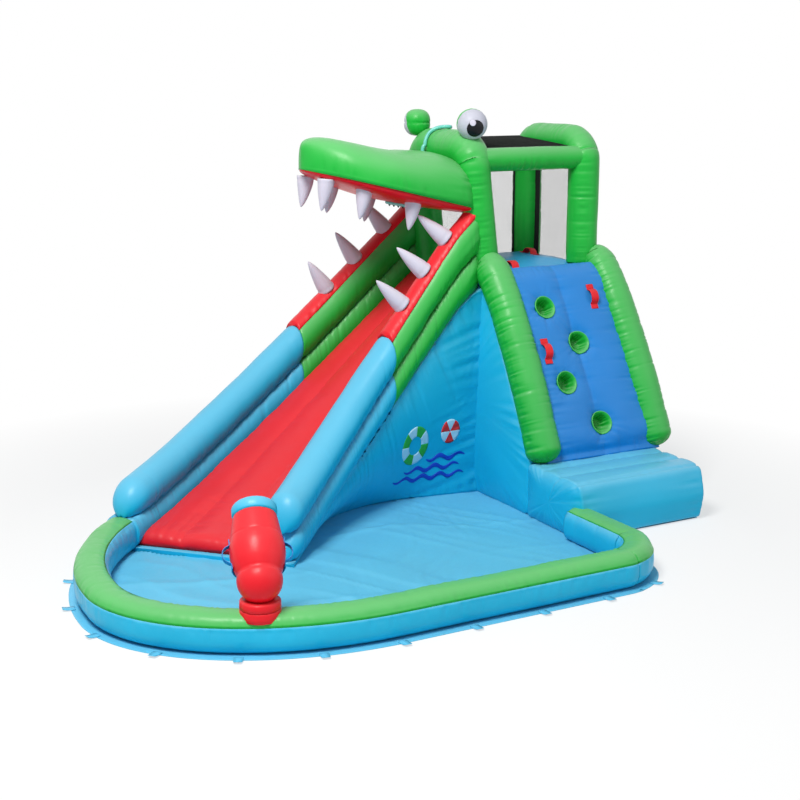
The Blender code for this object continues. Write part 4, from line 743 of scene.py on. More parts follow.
def gum_skin(side):
    distance = stops(tube_start * 0.7, slide_length * green_share[side])
    middle, out, tall = lobe_crown(distance, side)
    to_palate = gum_lift * fading_out(distance, gum_lift_reach)[:, None]
    into_post = 1 - gum_squeeze * fading_out(distance, post_reach)[:, None]
    share = np.linspace(0, 1, 22)
    angle = gum_start_angle + gum_sweep * share
    full = np.sin(math.pi * share) ** 0.8 * 0.95 + 0.05
    along = distance[:, None] * 1.3 + np.where(share < 0.5, 0, 30)
    edge = np.minimum(share, 1 - share) * lobe_half_width * gum_sweep
    puckers = creases(along, edge, gum_puckers, 90 + side)
    rows = []
    for grow, lift in ((gum_sink + 0 * puckers, 0.0), (gum_fullness * full + puckers + 0.004, to_palate)):
        x = (lobe_half_width + grow) * np.cos(angle) * into_post
        z = (tall[:, None] + grow) * np.sin(angle) + lift
        rows.append(middle[:, None] + out[:, None] * x[..., None] + up_axis * z[..., None])
    return np.concatenate([rows[0], rows[1][:, ::-1]], axis=1)


for side, side_name in both_sides:
    piece(side_name + "_gum", gum_skin(side), red)
print("Gum bands added:", len(finished), "pieces so far")

# %% [markdown]
# ## Teeth
# Each tooth is a small air-filled cone of white cloth that bends a little. Its tip is round, not sharp, and
# a ring of small gathers shows where it is sewn to the gum. One function makes them all from a root, a
# direction and a bend.

# %% Teeth
tooth_length, tooth_radius = 0.22, 0.062
upper_tooth_length, upper_tooth_radius = 0.20, 0.058
tooth_seam, tooth_gathers, tooth_groove = 0.02, (0.020, 0.04, 0.004), (0.005, 0.002)
lower_tooth_places = {1: (0.107, 0.192, 0.282), -1: (0.11, 0.195, 0.28)}
lower_tooth_lean = {1: 0.32, -1: 0.0}


def tooth_skin(root, direction, bend, length, radius, seed):
    direction = unit(direction)
    across = unit(np.cross(direction, (0.31, 0.94, 0.11)))
    tip = 1 - 0.1 * (1 - np.sin(np.linspace(0, 1.55, 8)))[1:]
    share = np.concatenate([np.linspace(0, 0.9, 22), tip])[:, None]
    angle = round_angles(36)
    width = radius * (1 - share**1.25) ** 0.66
    gathers = creases(angle * radius, share * length - tooth_seam, tooth_gathers, seed)
    width = width + gathers * np.minimum(width / radius * 2, 1)
    width = width + groove(share * length - tooth_seam - 0.008, *tooth_groove)
    middle = root + direction * length * share + np.asarray(bend) * share**2
    return middle[:, None] + spokes(across, np.cross(direction, across), angle) * width[..., None]


def lower_tooth(side, k):
    """A tooth square to the gum at its place down the slide, leaning in over the bed."""
    distance = slide_length * lower_tooth_places[side][k]
    middle, out, tall = lobe_crown(np.array((distance, distance + slide_length / 16)), side)
    down = unit(middle[1] - middle[0])
    level = math.hypot(down[0], down[1])
    square = np.array((down[0] / level * -down[2], down[1] / level * -down[2], level))
    direction = unit(square - out[0] * lower_tooth_lean[side])
    root, bend = middle[0] + up_axis * tall[0] + direction * 0.007, square * tooth_radius / 2
    return tooth_skin(root, direction, bend, tooth_length, tooth_radius, 100 + k * 3 + side)


for side, side_name in both_sides:
    for k in range(3):
        piece(f"{side_name}_lower_tooth_{k + 1}", lower_tooth(side, k), white)
print("Teeth on the walls: 6")

# %% [markdown]
# ## The head
# The upper jaw is a blunt snout: a half oval that narrows over the nose, green above and red below, sewn
# together along a level line. The palate hangs a little under that line and carries the upper teeth. The
# seam is where the cloth puckers, and the root of the snout is gathered into the forehead.

# %% Jaw sizes
tower_middle = -0.05
jaw_length, jaw_root_x, jaw_root_height, jaw_pitch = 1.07, -0.04, 1.92, math.radians(14)
jaw_half_width, jaw_depth, jaw_brow_depth, jaw_nose_share = 0.44, 0.24, 0.045, 0.62
palate_depth, palate_inset = 0.075, 0.012
nose_shares = np.minimum(1 - (1 - np.linspace(0, 1, 112)) ** 1.35, 0.99985)


def jaw_line(share):
    x = jaw_root_x - jaw_length * share
    return x, jaw_root_height + (jaw_root_x - x) * math.tan(jaw_pitch)


def jaw_half(share):
    along = np.clip((share - (1 - jaw_nose_share)) / jaw_nose_share, 0.0, 1.0)
    return jaw_half_width * np.maximum(1 - along**2.3, 0.0) ** 0.62


def root_tuck(share):
    """The snout narrows a little where it is sewn to the forehead."""
    return 1 - 0.13 * fading_out(share, 0.13)


def half_oval(share, half, depth, count, squareness, lift=0.0):
    angle = np.linspace(0, math.pi, count)
    x, z = jaw_line(share)
    side = tower_middle - half[:, None] * squared(np.cos(angle), squareness)
    height = z[:, None] + lift + depth[:, None] * np.sin(angle) ** squareness
    return np.stack([np.repeat(x[:, None], count, axis=1), side, height], axis=-1)


def round_the_half(grid, share):
    """How far round its half oval each point lies, its distance to the seam and its place along the seam."""
    over = np.linalg.norm(np.diff(grid, axis=1, prepend=grid[:, :1]), axis=2).cumsum(axis=1)
    edge, shift = from_edges(over, 20.0)
    return over, edge, share[:, None] * jaw_length + shift


def sewn_down(grid, height, half):
    """The half oval raised, but not at its level seam, and less where the nose is narrow."""
    height = height * np.minimum(half[:, None] / 0.15, 1.0)
    height[:, [0, -1]] = 0
    return raised(grid, height)


print("Jaw reaches", jaw_length, "m out and", jaw_half_width * 2, "m across")


# %% Jaw and palate
brow_swells = ((0.035, 0.2, 0.16), (0.016, 0.86, 0.12))
jaw_puckers, palate_puckers = (0.036, 0.07, 0.010), (0.034, 0.05, 0.004)
root_seam, root_puckers, root_folds = 0.09, (0.034, 0.09, 0.009), (0.08, 0.42, 0.011)
upper_tooth_places = ((0.40, 0.70), (0.695, 0.63), (0.905, 0.70))


def jaw_skin():
    share = nose_shares
    half = jaw_half(share) * root_tuck(share)
    brow = jaw_brow_depth * (1 - share) ** 1.5
    for swell, place, spread in brow_swells:
        brow = brow + swell * bell(share - place, spread)
    depth = (jaw_depth + brow) * (half / jaw_half_width) ** 0.2
    squareness = (0.74 - 0.20 * bell(share, 0.28))[:, None]
    grid = half_oval(share, half, depth, 80, squareness)
    over, edge, along = round_the_half(grid, share)
    from_root = share[:, None] * jaw_length - root_seam
    on_top = bell(over / over[:, -1:] - 0.5, 0.28)
    height = creases(along, edge, jaw_puckers, 120) + creases(over, from_root, root_puckers, 122)
    height += creases(over, from_root, root_folds, 123) * on_top + 0.005 * lumps(grid, 0.2, 124)
    return sewn_down(grid, height, half)


def palate_drop(share):
    half = np.maximum(jaw_half(share) - palate_inset, palate_inset)
    narrow = np.minimum(1.0, (half / jaw_half_width) ** 0.5)
    return palate_depth * (0.55 + 0.45 * np.sin(math.pi * share)) * narrow


def palate_skin():
    share = nose_shares * 0.997
    half = np.maximum(jaw_half(share) * root_tuck(share) - palate_inset, palate_inset)
    grid = half_oval(share, half, -palate_drop(share), 48, 0.65, 0.002)
    _, edge, along = round_the_half(grid, share)
    height = creases(along, edge, palate_puckers, 126) + 0.003 * lumps(grid, 0.15, 127)
    return sewn_down(grid, height, half)


piece("upper_jaw", jaw_skin(), green)
piece("jaw_palate", palate_skin(), red)
for side, side_name in both_sides:
    for k, (share, spread) in enumerate(upper_tooth_places):
        x, z = jaw_line(share)
        y = tower_middle - side * float(jaw_half(np.array(share))) * spread
        root, bend, seed = np.array((x, y, z - palate_depth * 0.35)), (-0.024, 0, 0), 130 + k * 3 + side
        skin = tooth_skin(root, (-0.06, 0, -1), bend, upper_tooth_length, upper_tooth_radius, seed)
        piece(f"{side_name}_upper_tooth_{k + 1}", skin, white)
print("Head pieces done:", len(finished), "pieces so far")

# %% [markdown]
# ## Tower frame
# Two arches and two beams stand over the deck. They are plain tubes, so a line with a radius is enough. A
# sewn tube always shows its long seams, with fine puckers along them, and it is gathered where it ends.

# %% Tubes along a line
tube_groove = (0.007, 0.002)
end_gathers, ball_end_gathers, end_seam = (0.032, 0.06), (0.032, 0.045), 0.01


def round_over(marks, reaches):
    """Share of the full radius along a tube whose ends close like a ball."""
    swell = np.ones_like(marks)
    for reach, distance in zip(reaches, (marks, marks[-1] - marks)):
        if reach:
            swell = np.minimum(swell, ball_round(np.minimum(distance / reach, 1)))
    return np.maximum(swell, 0.04)


def with_end_steps(marks, ends):
    """The marks with closer steps added where an end closes like a ball."""
    added = [marks]
    for at_end, reach in enumerate(ends):
        if reach:
            added.append(abs(marks[-1] * at_end - reach * (1 - np.cos(np.linspace(0, 1.3, 9)))))
    return np.unique(np.concatenate(added))


def tube_skin(route, radius, across, seams, sizes, seed, around=36, step=fine, ends=(0, 0)):
    """A tube with puckers along its seams. Its first column faces the across direction."""
    marks, line = smooth_line(route, step)
    if any(ends):
        closer = with_end_steps(marks, ends)
        marks, line = closer, read_off(closer, marks, line)
    tangent = unit(np.gradient(line[:, :3], marks, axis=0))
    across = np.asarray(across, float)
    side = unit(across - tangent * (tangent @ across)[:, None])
    angle = round_angles(around)
    swell = line[:, 3] if line.shape[1] > 3 else 1.0
    width = (radius * swell * round_over(marks, ends))[:, None]
    grid = line[:, None, :3] + spokes(side, np.cross(tangent, side), angle) * width[..., None]
    height = 0.002 * lumps(grid, 0.16, seed)
    for k, seam in enumerate(seams):
        away = np.abs((angle - seam + math.pi) % (2 * math.pi) - math.pi) * radius + 0 * width
        height = height + creases(marks[:, None], away, sizes, seed + 13 * k) + groove(away, *tube_groove)
    for k, distance in enumerate((marks, marks[-1] - marks)):
        gathers = (*(ball_end_gathers if ends[k] else end_gathers), sizes[2])
        height = height + creases(angle * radius, distance[:, None] - end_seam, gathers, seed + 40 + k)
    return raised(grid, height * np.minimum(width / radius, 1))


halfway = float(round_over(np.array((0.05, 1.0)), (0.1, 0))[0])
print("Halfway along a ball end a tube has", round(halfway, 2), "of its width")

# %% Arches and beams
post_radius, forehead_radius, beam_radius = 0.105, 0.125, 0.077
post_half_spacing, bend_radius = 0.34, 0.15
front_foot_x, front_top_x, back_post_x = 0.045, -0.03, 0.835
front_arch_height, rear_arch_height, beam_height = 2.295, 2.335, 2.23
post_foot = {1: 1.52, -1: 1.44}
arch_seams, arch_puckers = np.radians((235, 55)), (0.034, 0.065, 0.009)
beam_seams, beam_puckers = (math.pi * 0.7, math.pi * 1.3), (0.036, 0.065, 0.007)


def tower_y(side):
    return tower_middle - side * post_half_spacing


def arch_route(foot_x, top_x, height, swell):
    """An arch's line from foot to foot. Its fourth column swells towards the top."""
    halves = []
    for side, foot in post_foot.items():
        start = np.array((foot_x, tower_y(side), foot, 1.0))
        bend = []
        for k, a in enumerate(np.linspace(0, math.pi / 2, 5)):
            y = tower_y(side) + side * bend_radius * (1 - math.cos(a))
            bend.append((top_x, y, height - bend_radius * (1 - math.sin(a)), 1 + (swell - 1) * k / 4))
        halves.append(np.vstack([start, (start + np.array(bend[0])) / 2, bend]))
    return np.vstack([halves[0], (halves[0][-1] + halves[1][-1]) / 2, halves[1][::-1]])


for name, foot_x, top_x, height, swell, seed in (
    ("front_arch", front_foot_x, front_top_x, front_arch_height, forehead_radius / post_radius, 140),
    ("rear_arch", back_post_x, back_post_x, rear_arch_height, 1.0, 150),
):
    route = arch_route(foot_x, top_x, height, swell)
    skin = tube_skin(route, post_radius, (1, 0, 0), arch_seams, arch_puckers, seed)
    piece(name, skin, green)
for side, side_name in both_sides:
    route = [(x, tower_y(side), beam_height) for x in (front_top_x + 0.03, 0.4, back_post_x)]
    skin = tube_skin(route, beam_radius, (0, 0, 1), beam_seams, beam_puckers, 160 + side)
    piece(side_name + "_top_beam", skin, green)
print("Frame tubes: 4")

# %% [markdown]
# ## Climbing wall
# The wall is a royal blue mat sewn in two lengthwise channels, set into a steep slope between two green
# tubes. Its footholds are round pockets with a green lining that is gathered at the bottom. The mat is made
# as one closed grid and the four holes are cut with a Boolean, because a round hole is hard to fit into a
# square grid.

# %% Slope places
climb_top_reach, climb_foot_reach, mat_height, mat_length = 0.47, 1.05, 0.36, 0.56
climb_tube_radius, climb_tube_lift = 0.115, 0.0585
left_foot_x, left_top_x, right_foot_x, right_top_x = 0.085, 0.045, 0.98, 0.905
panel_thickness, panel_crown, lining_thickness = 0.11, 0.035, 0.012
pocket_radius, pocket_columns, pocket_rows = 0.075, (0.23, 0.52), (0.235, 0.435, 0.64, 0.865)
slope_foot = np.array((0, -climb_foot_reach, mat_height))
slope_run = np.array((0, -climb_top_reach, deck_height)) - slope_foot
slope_length = float(np.linalg.norm(slope_run))
slope_up = slope_run / slope_length
slope_out = np.array((0, -slope_up[2], slope_up[1]))


def climb_edge(side, share):
    foot, top = ((left_foot_x, left_top_x), (right_foot_x, right_top_x))[side]
    return foot + (top - foot) * share


def on_slope(x, share, height):
    x, share, height = np.broadcast_arrays(x, share, height)
    point = slope_foot + slope_up * (slope_length * share)[..., None] + slope_out * height[..., None]
    point[..., 0] += x
    return point


def panel_top(x, share):
    left, right = climb_edge(0, share), climb_edge(1, share)
    crown = panel_crown * np.sin(math.pi * (0.08 + 0.84 * np.clip(share, 0, 1))) ** 0.7
    thin = 1 - 0.35 * np.maximum(1 - np.minimum(share, 1 - share) / 0.1, 0.0) ** 2
    seam = np.abs(np.sin(2 * math.pi * (x - left) / (right - left))) ** 0.5
    return panel_thickness * thin + crown * seam


pockets = []
for k, row in enumerate(pocket_rows):
    share = 1 - row
    left, right = climb_edge(0, share) + climb_tube_radius, climb_edge(1, share) - climb_tube_radius
    pockets.append((left + (right - left) * pocket_columns[k % 2], share))
print("Pockets at", [(round(x, 3), round(s, 3)) for x, s in pockets], "of", round(slope_length, 3), "m")

# %% Climbing panel
middle_puckers, side_puckers = (0.06, 0.09, 0.007), (0.06, 0.12, 0.012)
low_puckers, high_puckers = (0.05, 0.08, 0.007), (0.05, 0.07, 0.006)
pocket_puckers, pocket_groove = (0.036, 0.07, 0.010), (0.03, 0.010)
hole_depth, hole_middle = 0.5, 0.26


def panel_skin():
    share = np.linspace(-0.03, 1, 130)[:, None]
    left, right = climb_edge(0, share), climb_edge(1, share)
    across = np.linspace(1, 0, 84)
    x = left + (right - left) * across
    edge = np.minimum(across, 1 - across) * (right - left) - climb_tube_radius * 0.6
    along = share * slope_length
    height = creases(along, np.abs(across - 0.5) * (right - left), middle_puckers, 170)
    height = height + creases(along + np.where(across > 0.5, 0, 9), edge, side_puckers, 171)
    height += creases(x, along, low_puckers, 174) + creases(x, slope_length - along, high_puckers, 175)
    for k, (pocket_x, pocket_share) in enumerate(pockets):
        dx, dy = x - pocket_x, (share - pocket_share) * slope_length
        away = np.hypot(dx, dy) - pocket_radius
        height += creases(np.arctan2(dy, dx) * pocket_radius, away, pocket_puckers, 176 + k)
        height += groove(away, *pocket_groove)
    height += 0.004 * lumps(on_slope(x, share, 0.0), 0.14, 181)
    upper = on_slope(x, share, panel_top(x, np.maximum(share, 0)) + height)
    under = on_slope(np.hstack([left, right]), share, lining_thickness + 0.001)
    return np.concatenate([under, upper], axis=1)


def cut_hole(obj, pocket_x, pocket_share):
    """Take a pocket's round hole out of the panel, square to the slope."""
    bm = bmesh.new()
    size = dict(segments=48, radius1=pocket_radius, radius2=pocket_radius, depth=hole_depth)
    bmesh.ops.create_cone(bm, cap_ends=True, **size)
    turn = Vector(slope_out).to_track_quat("Z", "X").to_matrix().to_4x4()
    turn.translation = Vector(on_slope(pocket_x, pocket_share, hole_middle) + tower_corner)
    bm.transform(turn)
    hole = bpy.data.objects.new("hole", bpy.data.meshes.new("hole"))
    bm.to_mesh(hole.data)
    bm.free()
    scene.collection.objects.link(hole)
    modifier = obj.modifiers.new("cut", "BOOLEAN")
    modifier.operation, modifier.object = "DIFFERENCE", hole
    graph = bpy.context.evaluated_depsgraph_get()
    mesh = bpy.data.meshes.new_from_object(obj.evaluated_get(graph))
    obj.modifiers.clear()
    obj.data = mesh
    bpy.data.objects.remove(hole)


panel = piece("climb_panel", panel_skin(), royal_blue)
for place in pockets:
    cut_hole(panel, *place)
print("Panel with holes:", len(panel.data.polygons), "faces")

# %% Pocket linings
cup_lip = [(-0.002, -0.100), (-0.002, -0.016), (0.001, -0.008), (0.003, -0.004)]
cup_lip += [(0.002, -0.001), (-0.001, 0.0), (-0.005, -0.002), (-0.008, -0.006)]
cup_side = [(-0.012 - 0.002 * k, -0.012 * k) for k in range(1, 8)]
cup_bottom = [(-0.034, -0.092), (-0.050, -0.096), (-0.072, -0.098)]


def pocket_skin(pocket_x, share, seed):
    """A cup from its lip down, as steps in from the pocket's rim and down from the panel's top."""
    angle = round_angles(90)
    steps = np.array(cup_lip + cup_side + cup_bottom)
    rim_x = pocket_x + pocket_radius * np.cos(angle)
    top = panel_top(rim_x, share + pocket_radius * np.sin(angle) / slope_length) - 0.004
    depth = np.clip(-steps[:, 1:] / 0.09, 0, 1) * (steps[:, :1] < -0.006)
    gather = 0.0045 * depth * np.sin(15 * angle + 2 * np.sin(3 * angle + seed))
    gather += 0.0025 * depth * np.sin(8 * angle + seed)
    reach = pocket_radius + steps[:, :1] + gather
    level = np.maximum(top + steps[:, 1:], lining_thickness + 0.004 + 0.001 * np.sin(angle * 9))
    return on_slope(pocket_x + reach * np.cos(angle), share + reach * np.sin(angle) / slope_length, level)


lining_share = np.linspace(0.02, 0.97, 12)[:, None]
left, right = climb_edge(0, lining_share), climb_edge(1, lining_share)
lining_x = left + (right - left) * np.linspace(0, 1, 12)
backing_top = on_slope(lining_x, lining_share, lining_thickness)
backing_under = on_slope(lining_x[:, ::-1], lining_share, 0.001)
piece("pocket_lining", np.concatenate([backing_top, backing_under], axis=1), green, name="pocket_backing")
cups = [pocket_skin(x, share, 190 + k) for k, (x, share) in enumerate(pockets)]
piece("pocket_lining", cups, green, name="pocket_cups")
print("Pocket cups:", len(cups))

# %% Climbing tubes
tube_shares = np.array((1.10, 1.03, 0.9, 0.75, 0.55, 0.35, 0.18, 0.06, -0.02))
tube_lifts = np.array((0.0, 0.5, 1.15, 1.5, 1.6, 1.5, 1.25, 1.0, 0.8))
climb_seams, climb_puckers = np.radians((10, 170)), (0.034, 0.085, 0.011)
climb_detail = dict(around=60, step=0.007, ends=(0.16, 0.09))
for side, side_name in enumerate(("left", "right")):
    route = on_slope(climb_edge(side, tube_shares), tube_shares, climb_tube_lift * tube_lifts)
    seed = 200 + side * 9
    skin = tube_skin(route, climb_tube_radius, (1, 0, 0), climb_seams, climb_puckers, seed, **climb_detail)
    piece("climb_tube_" + side_name, skin, green)
print("Climbing tubes: 2")

# %% [markdown]
# ## Tower, landing mat and deck
# The tower block and the landing mat are profiles carried sideways between two bulging end panels. The end
# panels are made of rings drawn in towards their middle and pushed out, like the lid of a cushion. The deck
# is a low cushion, highest in its middle.

# %% Blocks with bulging ends
side_crown = 0.045
block_puckers, block_folds = (0.042, 0.10, 0.009), (0.10, 0.24, 0.009)


def even_outline(profile, pitch):
    """A closed outline stepped evenly, with its corners softened."""
    loop = np.vstack([profile, profile[:1]])
    lengths = distances_along(loop)
    marks = np.linspace(0, lengths[-1], int(lengths[-1] / pitch), endpoint=False)
    outline = read_off(marks, lengths, loop)
    for _ in range(6):
        outline = (np.roll(outline, 1, 0) + 2 * outline + np.roll(outline, -1, 0)) / 4
    return marks, outline


def block_skin(profile, pitch, step, seed):
    """A profile carried across the tower, closed by two cushioned end panels."""
    marks, outline = even_outline(profile, pitch)
    middle = outline.mean(axis=0)
    share = np.linspace(0, 1, 20) ** 1.4 * 0.97
    bulge = side_crown * (1 - (1 - np.minimum(share / 0.72, 1)) ** 2.2) ** 0.6
    xs = np.concatenate([-bulge[::-1], stops(0.0, tower_depth, step)[1:-1], tower_depth + bulge])
    shares = np.concatenate([share[::-1], np.zeros(len(xs) - 2 * len(share)), share])
    ring = outline[None] + (middle - outline)[None] * shares[:, None, None]
    grid = np.concatenate([np.repeat(xs[:, None, None], len(outline), axis=1), ring], axis=-1)
    to_fold = np.minimum(np.abs(xs), np.abs(xs - tower_depth))[:, None]
    to_fold = to_fold + shares[:, None] * np.linalg.norm(outline - middle, axis=1)
    height = creases(marks + np.where(xs < tower_depth / 2, 0, 30)[:, None], to_fold, block_puckers, seed)
    height += creases(marks, to_fold, block_folds, seed + 1) + 0.004 * lumps(grid, 0.22, seed)
    off_floor = np.clip((grid[..., 2] - 0.006) / 0.05, 0, 1)
    off_fold = 1 - 0.75 * bell(to_fold, 0.022)
    return raised(grid, height * off_floor * off_fold)


tower_top = deck_height - 0.07
tower_profile = [(tower_far_reach, ground_gap), (tower_far_reach, tower_top), (-climb_top_reach, tower_top)]
tower_profile += [(-climb_foot_reach, mat_height), (-climb_foot_reach, ground_gap)]
piece("tower_base", block_skin(tower_profile, 0.022, 0.03, 210), light_blue)
print("Tower block done")

# %% Landing mat
mat_front = -(climb_foot_reach + mat_length)
mat_back = -climb_foot_reach + 0.01
mat_top_end, mat_channels, mat_dip = mat_front + 0.05, 3, 0.014
mat_puckers, mat_groove = (0.05, 0.05, 0.006), (0.012, 0.006)
mat_steps = np.linspace(0, 1, 61)
mat_ridge = np.abs(np.sin(math.pi * mat_channels * mat_steps)) ** 0.5
mat_y = mat_back + (mat_top_end - mat_back) * mat_steps
mat_profile = [(mat_back, ground_gap), *zip(mat_y, mat_height - mat_dip * (1 - mat_ridge))]
mat_profile.append((mat_front + 0.0125, mat_height - 0.0175))
mat_bulge = ((0.015, 0.7), (0.03, 0.45), (0.012, 0.15))
mat_profile += [(mat_front - out, mat_height * share) for out, share in mat_bulge]
mat_profile.append((mat_front, ground_gap))


def mat_skin():
    grid = block_skin(mat_profile, 0.013, 0.018, 220)
    x, y, z = grid[..., 0], grid[..., 1], grid[..., 2]
    channel = (y - mat_back) / (mat_top_end - mat_back) * mat_channels
    seam = to_channel_seam(channel, mat_back - mat_front, mat_channels)
    on_top = np.clip((z - mat_height + 0.05) / 0.03, 0, 1) * (channel > 0.4)
    height = creases(x + 7 * np.round(channel), seam, mat_puckers, 224) + groove(seam, *mat_groove)
    return raised(grid, height * on_top)


piece("landing_mat", mat_skin(), light_blue)
print("Landing mat:", mat_length, "m deep")

# %% Deck
deck_low, deck_high = np.array((-0.03, -climb_top_reach)), np.array((tower_depth, tower_far_reach))
deck_crown, deck_edge, deck_rings = 0.05, 0.025, 24
deck_puckers = (0.04, 0.08, 0.006)


def deck_swell(share):
    """How far the cushion rises, from its edge to its middle."""
    return deck_crown * np.sin(np.minimum(share, 0.85) * math.pi / 2)


def deck_skin():
    half = min(deck_high - deck_low) / 2
    share = np.linspace(0, 1, deck_rings)[1:]
    inset = np.concatenate([[0, 0, 0.006, 0.02], deck_edge + (half - deck_edge) * share * 0.97])
    rise = np.concatenate([[-0.069, -0.02, -0.006, -0.001], deck_swell(share)])
    part = np.linspace(0, 1, 40, endpoint=False)[:, None]
    rings = []
    for i, r in zip(inset, rise):
        a, b = deck_low + i, deck_high - i
        corners = [a, np.array((b[0], a[1])), b, np.array((a[0], b[1]))]
        ring = np.vstack([corners[k - 1] + (corners[k] - corners[k - 1]) * part for k in (1, 2, 3, 0)])
        rings.append(np.hstack([ring, np.full((len(ring), 1), deck_height + r)]))
    grid = np.array(rings)
    around = np.arange(grid.shape[1]) * 0.023
    height = creases(around, inset[:, None] - 0.02, deck_puckers, 230) + 0.003 * lumps(grid, 0.15, 231)
    height[:2] = 0
    return grid + up_axis * height[..., None]


piece("tower_deck", deck_skin(), deck_blue)
print("Deck done,", len(finished), "pieces so far")

# %% [markdown]
# ## Pool
# The splash pool is a low tube bent round in plan, blue with a green cap, and a ground sheet that is also
# its floor. The sheet lies loose inside, so it wrinkles. Its hem runs outside the tube and has webbing tabs
# for pegs.

# %% Pool line
pool_wall_width, pool_wall_height, wall_fullness = 0.20, 0.21, 0.72
outer_border, inner_border = 0.15, 0.19
corner_radius, front_reach, nose_length, pool_side_radius = 0.30, 0.74, 1.24, 1.45
pool_front = -(climb_foot_reach + mat_length + front_reach)


def arc(centre, radii, start, end, count):
    a = np.linspace(start, end, count)
    return np.stack([centre[0] + radii[0] * np.cos(a), centre[1] + radii[1] * np.sin(a)], axis=-1)


def pool_line():
    """Plan line of the pool wall from the mat to the far slide wall, with the nose's middle."""
    centre, across = slide_line(np.array(slide_length))
    end = (centre - across * channel_half(slide_length))[:2]
    lean = math.atan2(-across[1], across[0])
    left = end[0] - pool_side_radius * (1 - math.cos(lean))
    low = end[1] - pool_side_radius * math.sin(lean)
    nose = (left + nose_length, low)
    down, back = -math.pi / 2, math.pi
    route = [[(0, -(climb_foot_reach + mat_length) + overrun * 2)]]
    route.append(arc((-corner_radius, pool_front + corner_radius), (corner_radius,) * 2, 0, down, 9))
    route.append([(nose[0] * 0.5, pool_front), (nose[0] * 0.8, pool_front)])
    route.append(arc(nose, (nose_length, low - pool_front), down, -back, 24))
    route.append(arc((left + pool_side_radius, low), (pool_side_radius,) * 2, back, back - lean, 9)[1:])
    return np.vstack(route), nose


def sideways(path):
    """The level direction square to a plan line at each of its points."""
    along = unit(np.gradient(path, axis=0))
    return np.stack([-along[:, 1], along[:, 0]], axis=-1)


pool_route, nose = pool_line()
pool_marks, pool_path = smooth_line(pool_route, 0.013)
print("Pool wall is", round(float(pool_marks[-1]), 2), "m long")

# %% Pool wall
pool_puckers, bend_folds = (0.036, 0.06, 0.009), (0.11, 1.0, 0.010)
join_places, join_groove, join_puckers = (0.27, 0.60), (0.006, 0.003), (0.025, 0.03, 0.003)


def wall_section(upper):
    """The wall's blue body below the two borders, or its green cap above them."""
    half, middle = pool_wall_width / 2, pool_wall_height / 2

    def angle_at(height):
        return math.asin(min(((height - middle) / middle) ** (1 / wall_fullness), 1.0))

    outer, inner = angle_at(outer_border), math.pi - angle_at(inner_border)
    angle = np.linspace(outer, inner, 14) if upper else np.linspace(inner, outer + 2 * math.pi, 34)
    x = half * squared(np.cos(angle), wall_fullness)
    return x, np.maximum(middle + middle * squared(np.sin(angle), wall_fullness), ground_gap)


def pool_skin(upper, seed):
    x, z = wall_section(upper)
    normal = sideways(pool_path)
    plan = pool_path[:, None] + normal[:, None] * x[:, None]
    grid = np.concatenate([plan, np.broadcast_to(z[:, None], (*plan.shape[:2], 1))], axis=-1)
    over = distances_along(np.stack([x, z], axis=-1))
    edge, shift = from_edges(over, 30.0)
    marks = pool_marks[:, None]
    bend = np.abs(np.gradient(np.unwrap(np.arctan2(normal[:, 1], normal[:, 0])), pool_marks))[:, None]
    inner_side = np.clip(-x / 0.1, 0, 1) * np.minimum(bend / 2.5, 1)
    height = creases(marks + shift, edge, pool_puckers, seed)
    height = height + creases(marks + shift, 0.0, bend_folds, seed + 3) * inner_side
    for share in join_places:
        away = np.abs(marks - pool_marks[-1] * share)
        height = height + groove(away, *join_groove) + creases(over, away, join_puckers, seed + 6)
    height = height + 0.0035 * lumps(grid, 0.18, seed)
    height[:, [0, -1]] = 0
    return raised(grid, height * np.clip((grid[..., 2] - 0.005) / 0.03, 0, 1))


piece("pool_wall", pool_skin(False, 240), light_blue)
piece("pool_rim_band", pool_skin(True, 250), green, name="pool_rim_skin")
print("Pool wall done")

# %% Ground sheet
hem_width, sheet_thickness, sheet_low = 0.03, 0.004, 0.0004
hem = pool_path + sideways(pool_path) * (pool_wall_width / 2 + hem_width)


def sheet_outline():
    distance = stops(0.0, slide_length * 0.98, 0.06)[::-1]
    centre, across = slide_line(distance)
    far = (centre - across * (channel_half(distance) + lobe_half_width + hem_width)[:, None])[:, :2]
    front = mat_front + 0.02
    back = [(0, tower_far_reach), (tower_depth, tower_far_reach), (tower_depth, front)]
    return np.vstack([[(hem[0, 0], front)], hem[1:], far[:-1], back])


def area_of(outline):
    x, y = outline.T
    return abs(float((x * np.roll(y, -1) - y * np.roll(x, -1)).sum())) / 2


outline = sheet_outline()
inner = outline + (outline.mean(axis=0) - outline) * 0.012
sheet_steps = (0, sheet_low), (0, sheet_thickness * 0.7), (0.3, sheet_thickness), (1, sheet_thickness * 0.8)
sheet_rings = []
for inward, level in sheet_steps:
    ring = outline * (1 - inward) + inner * inward
    sheet_rings.append(np.hstack([ring, np.full((len(ring), 1), level)]))
ground_sheet = piece("base_sheet", np.array(sheet_rings), light_blue, name="ground_sheet")

# %% Peg tabs
tab_count, tab_width, tab_length, tab_thickness = 11, 0.05, 0.045, 0.0025
first_tab, last_tab = 0.16, 0.90
hem_marks = distances_along(hem)


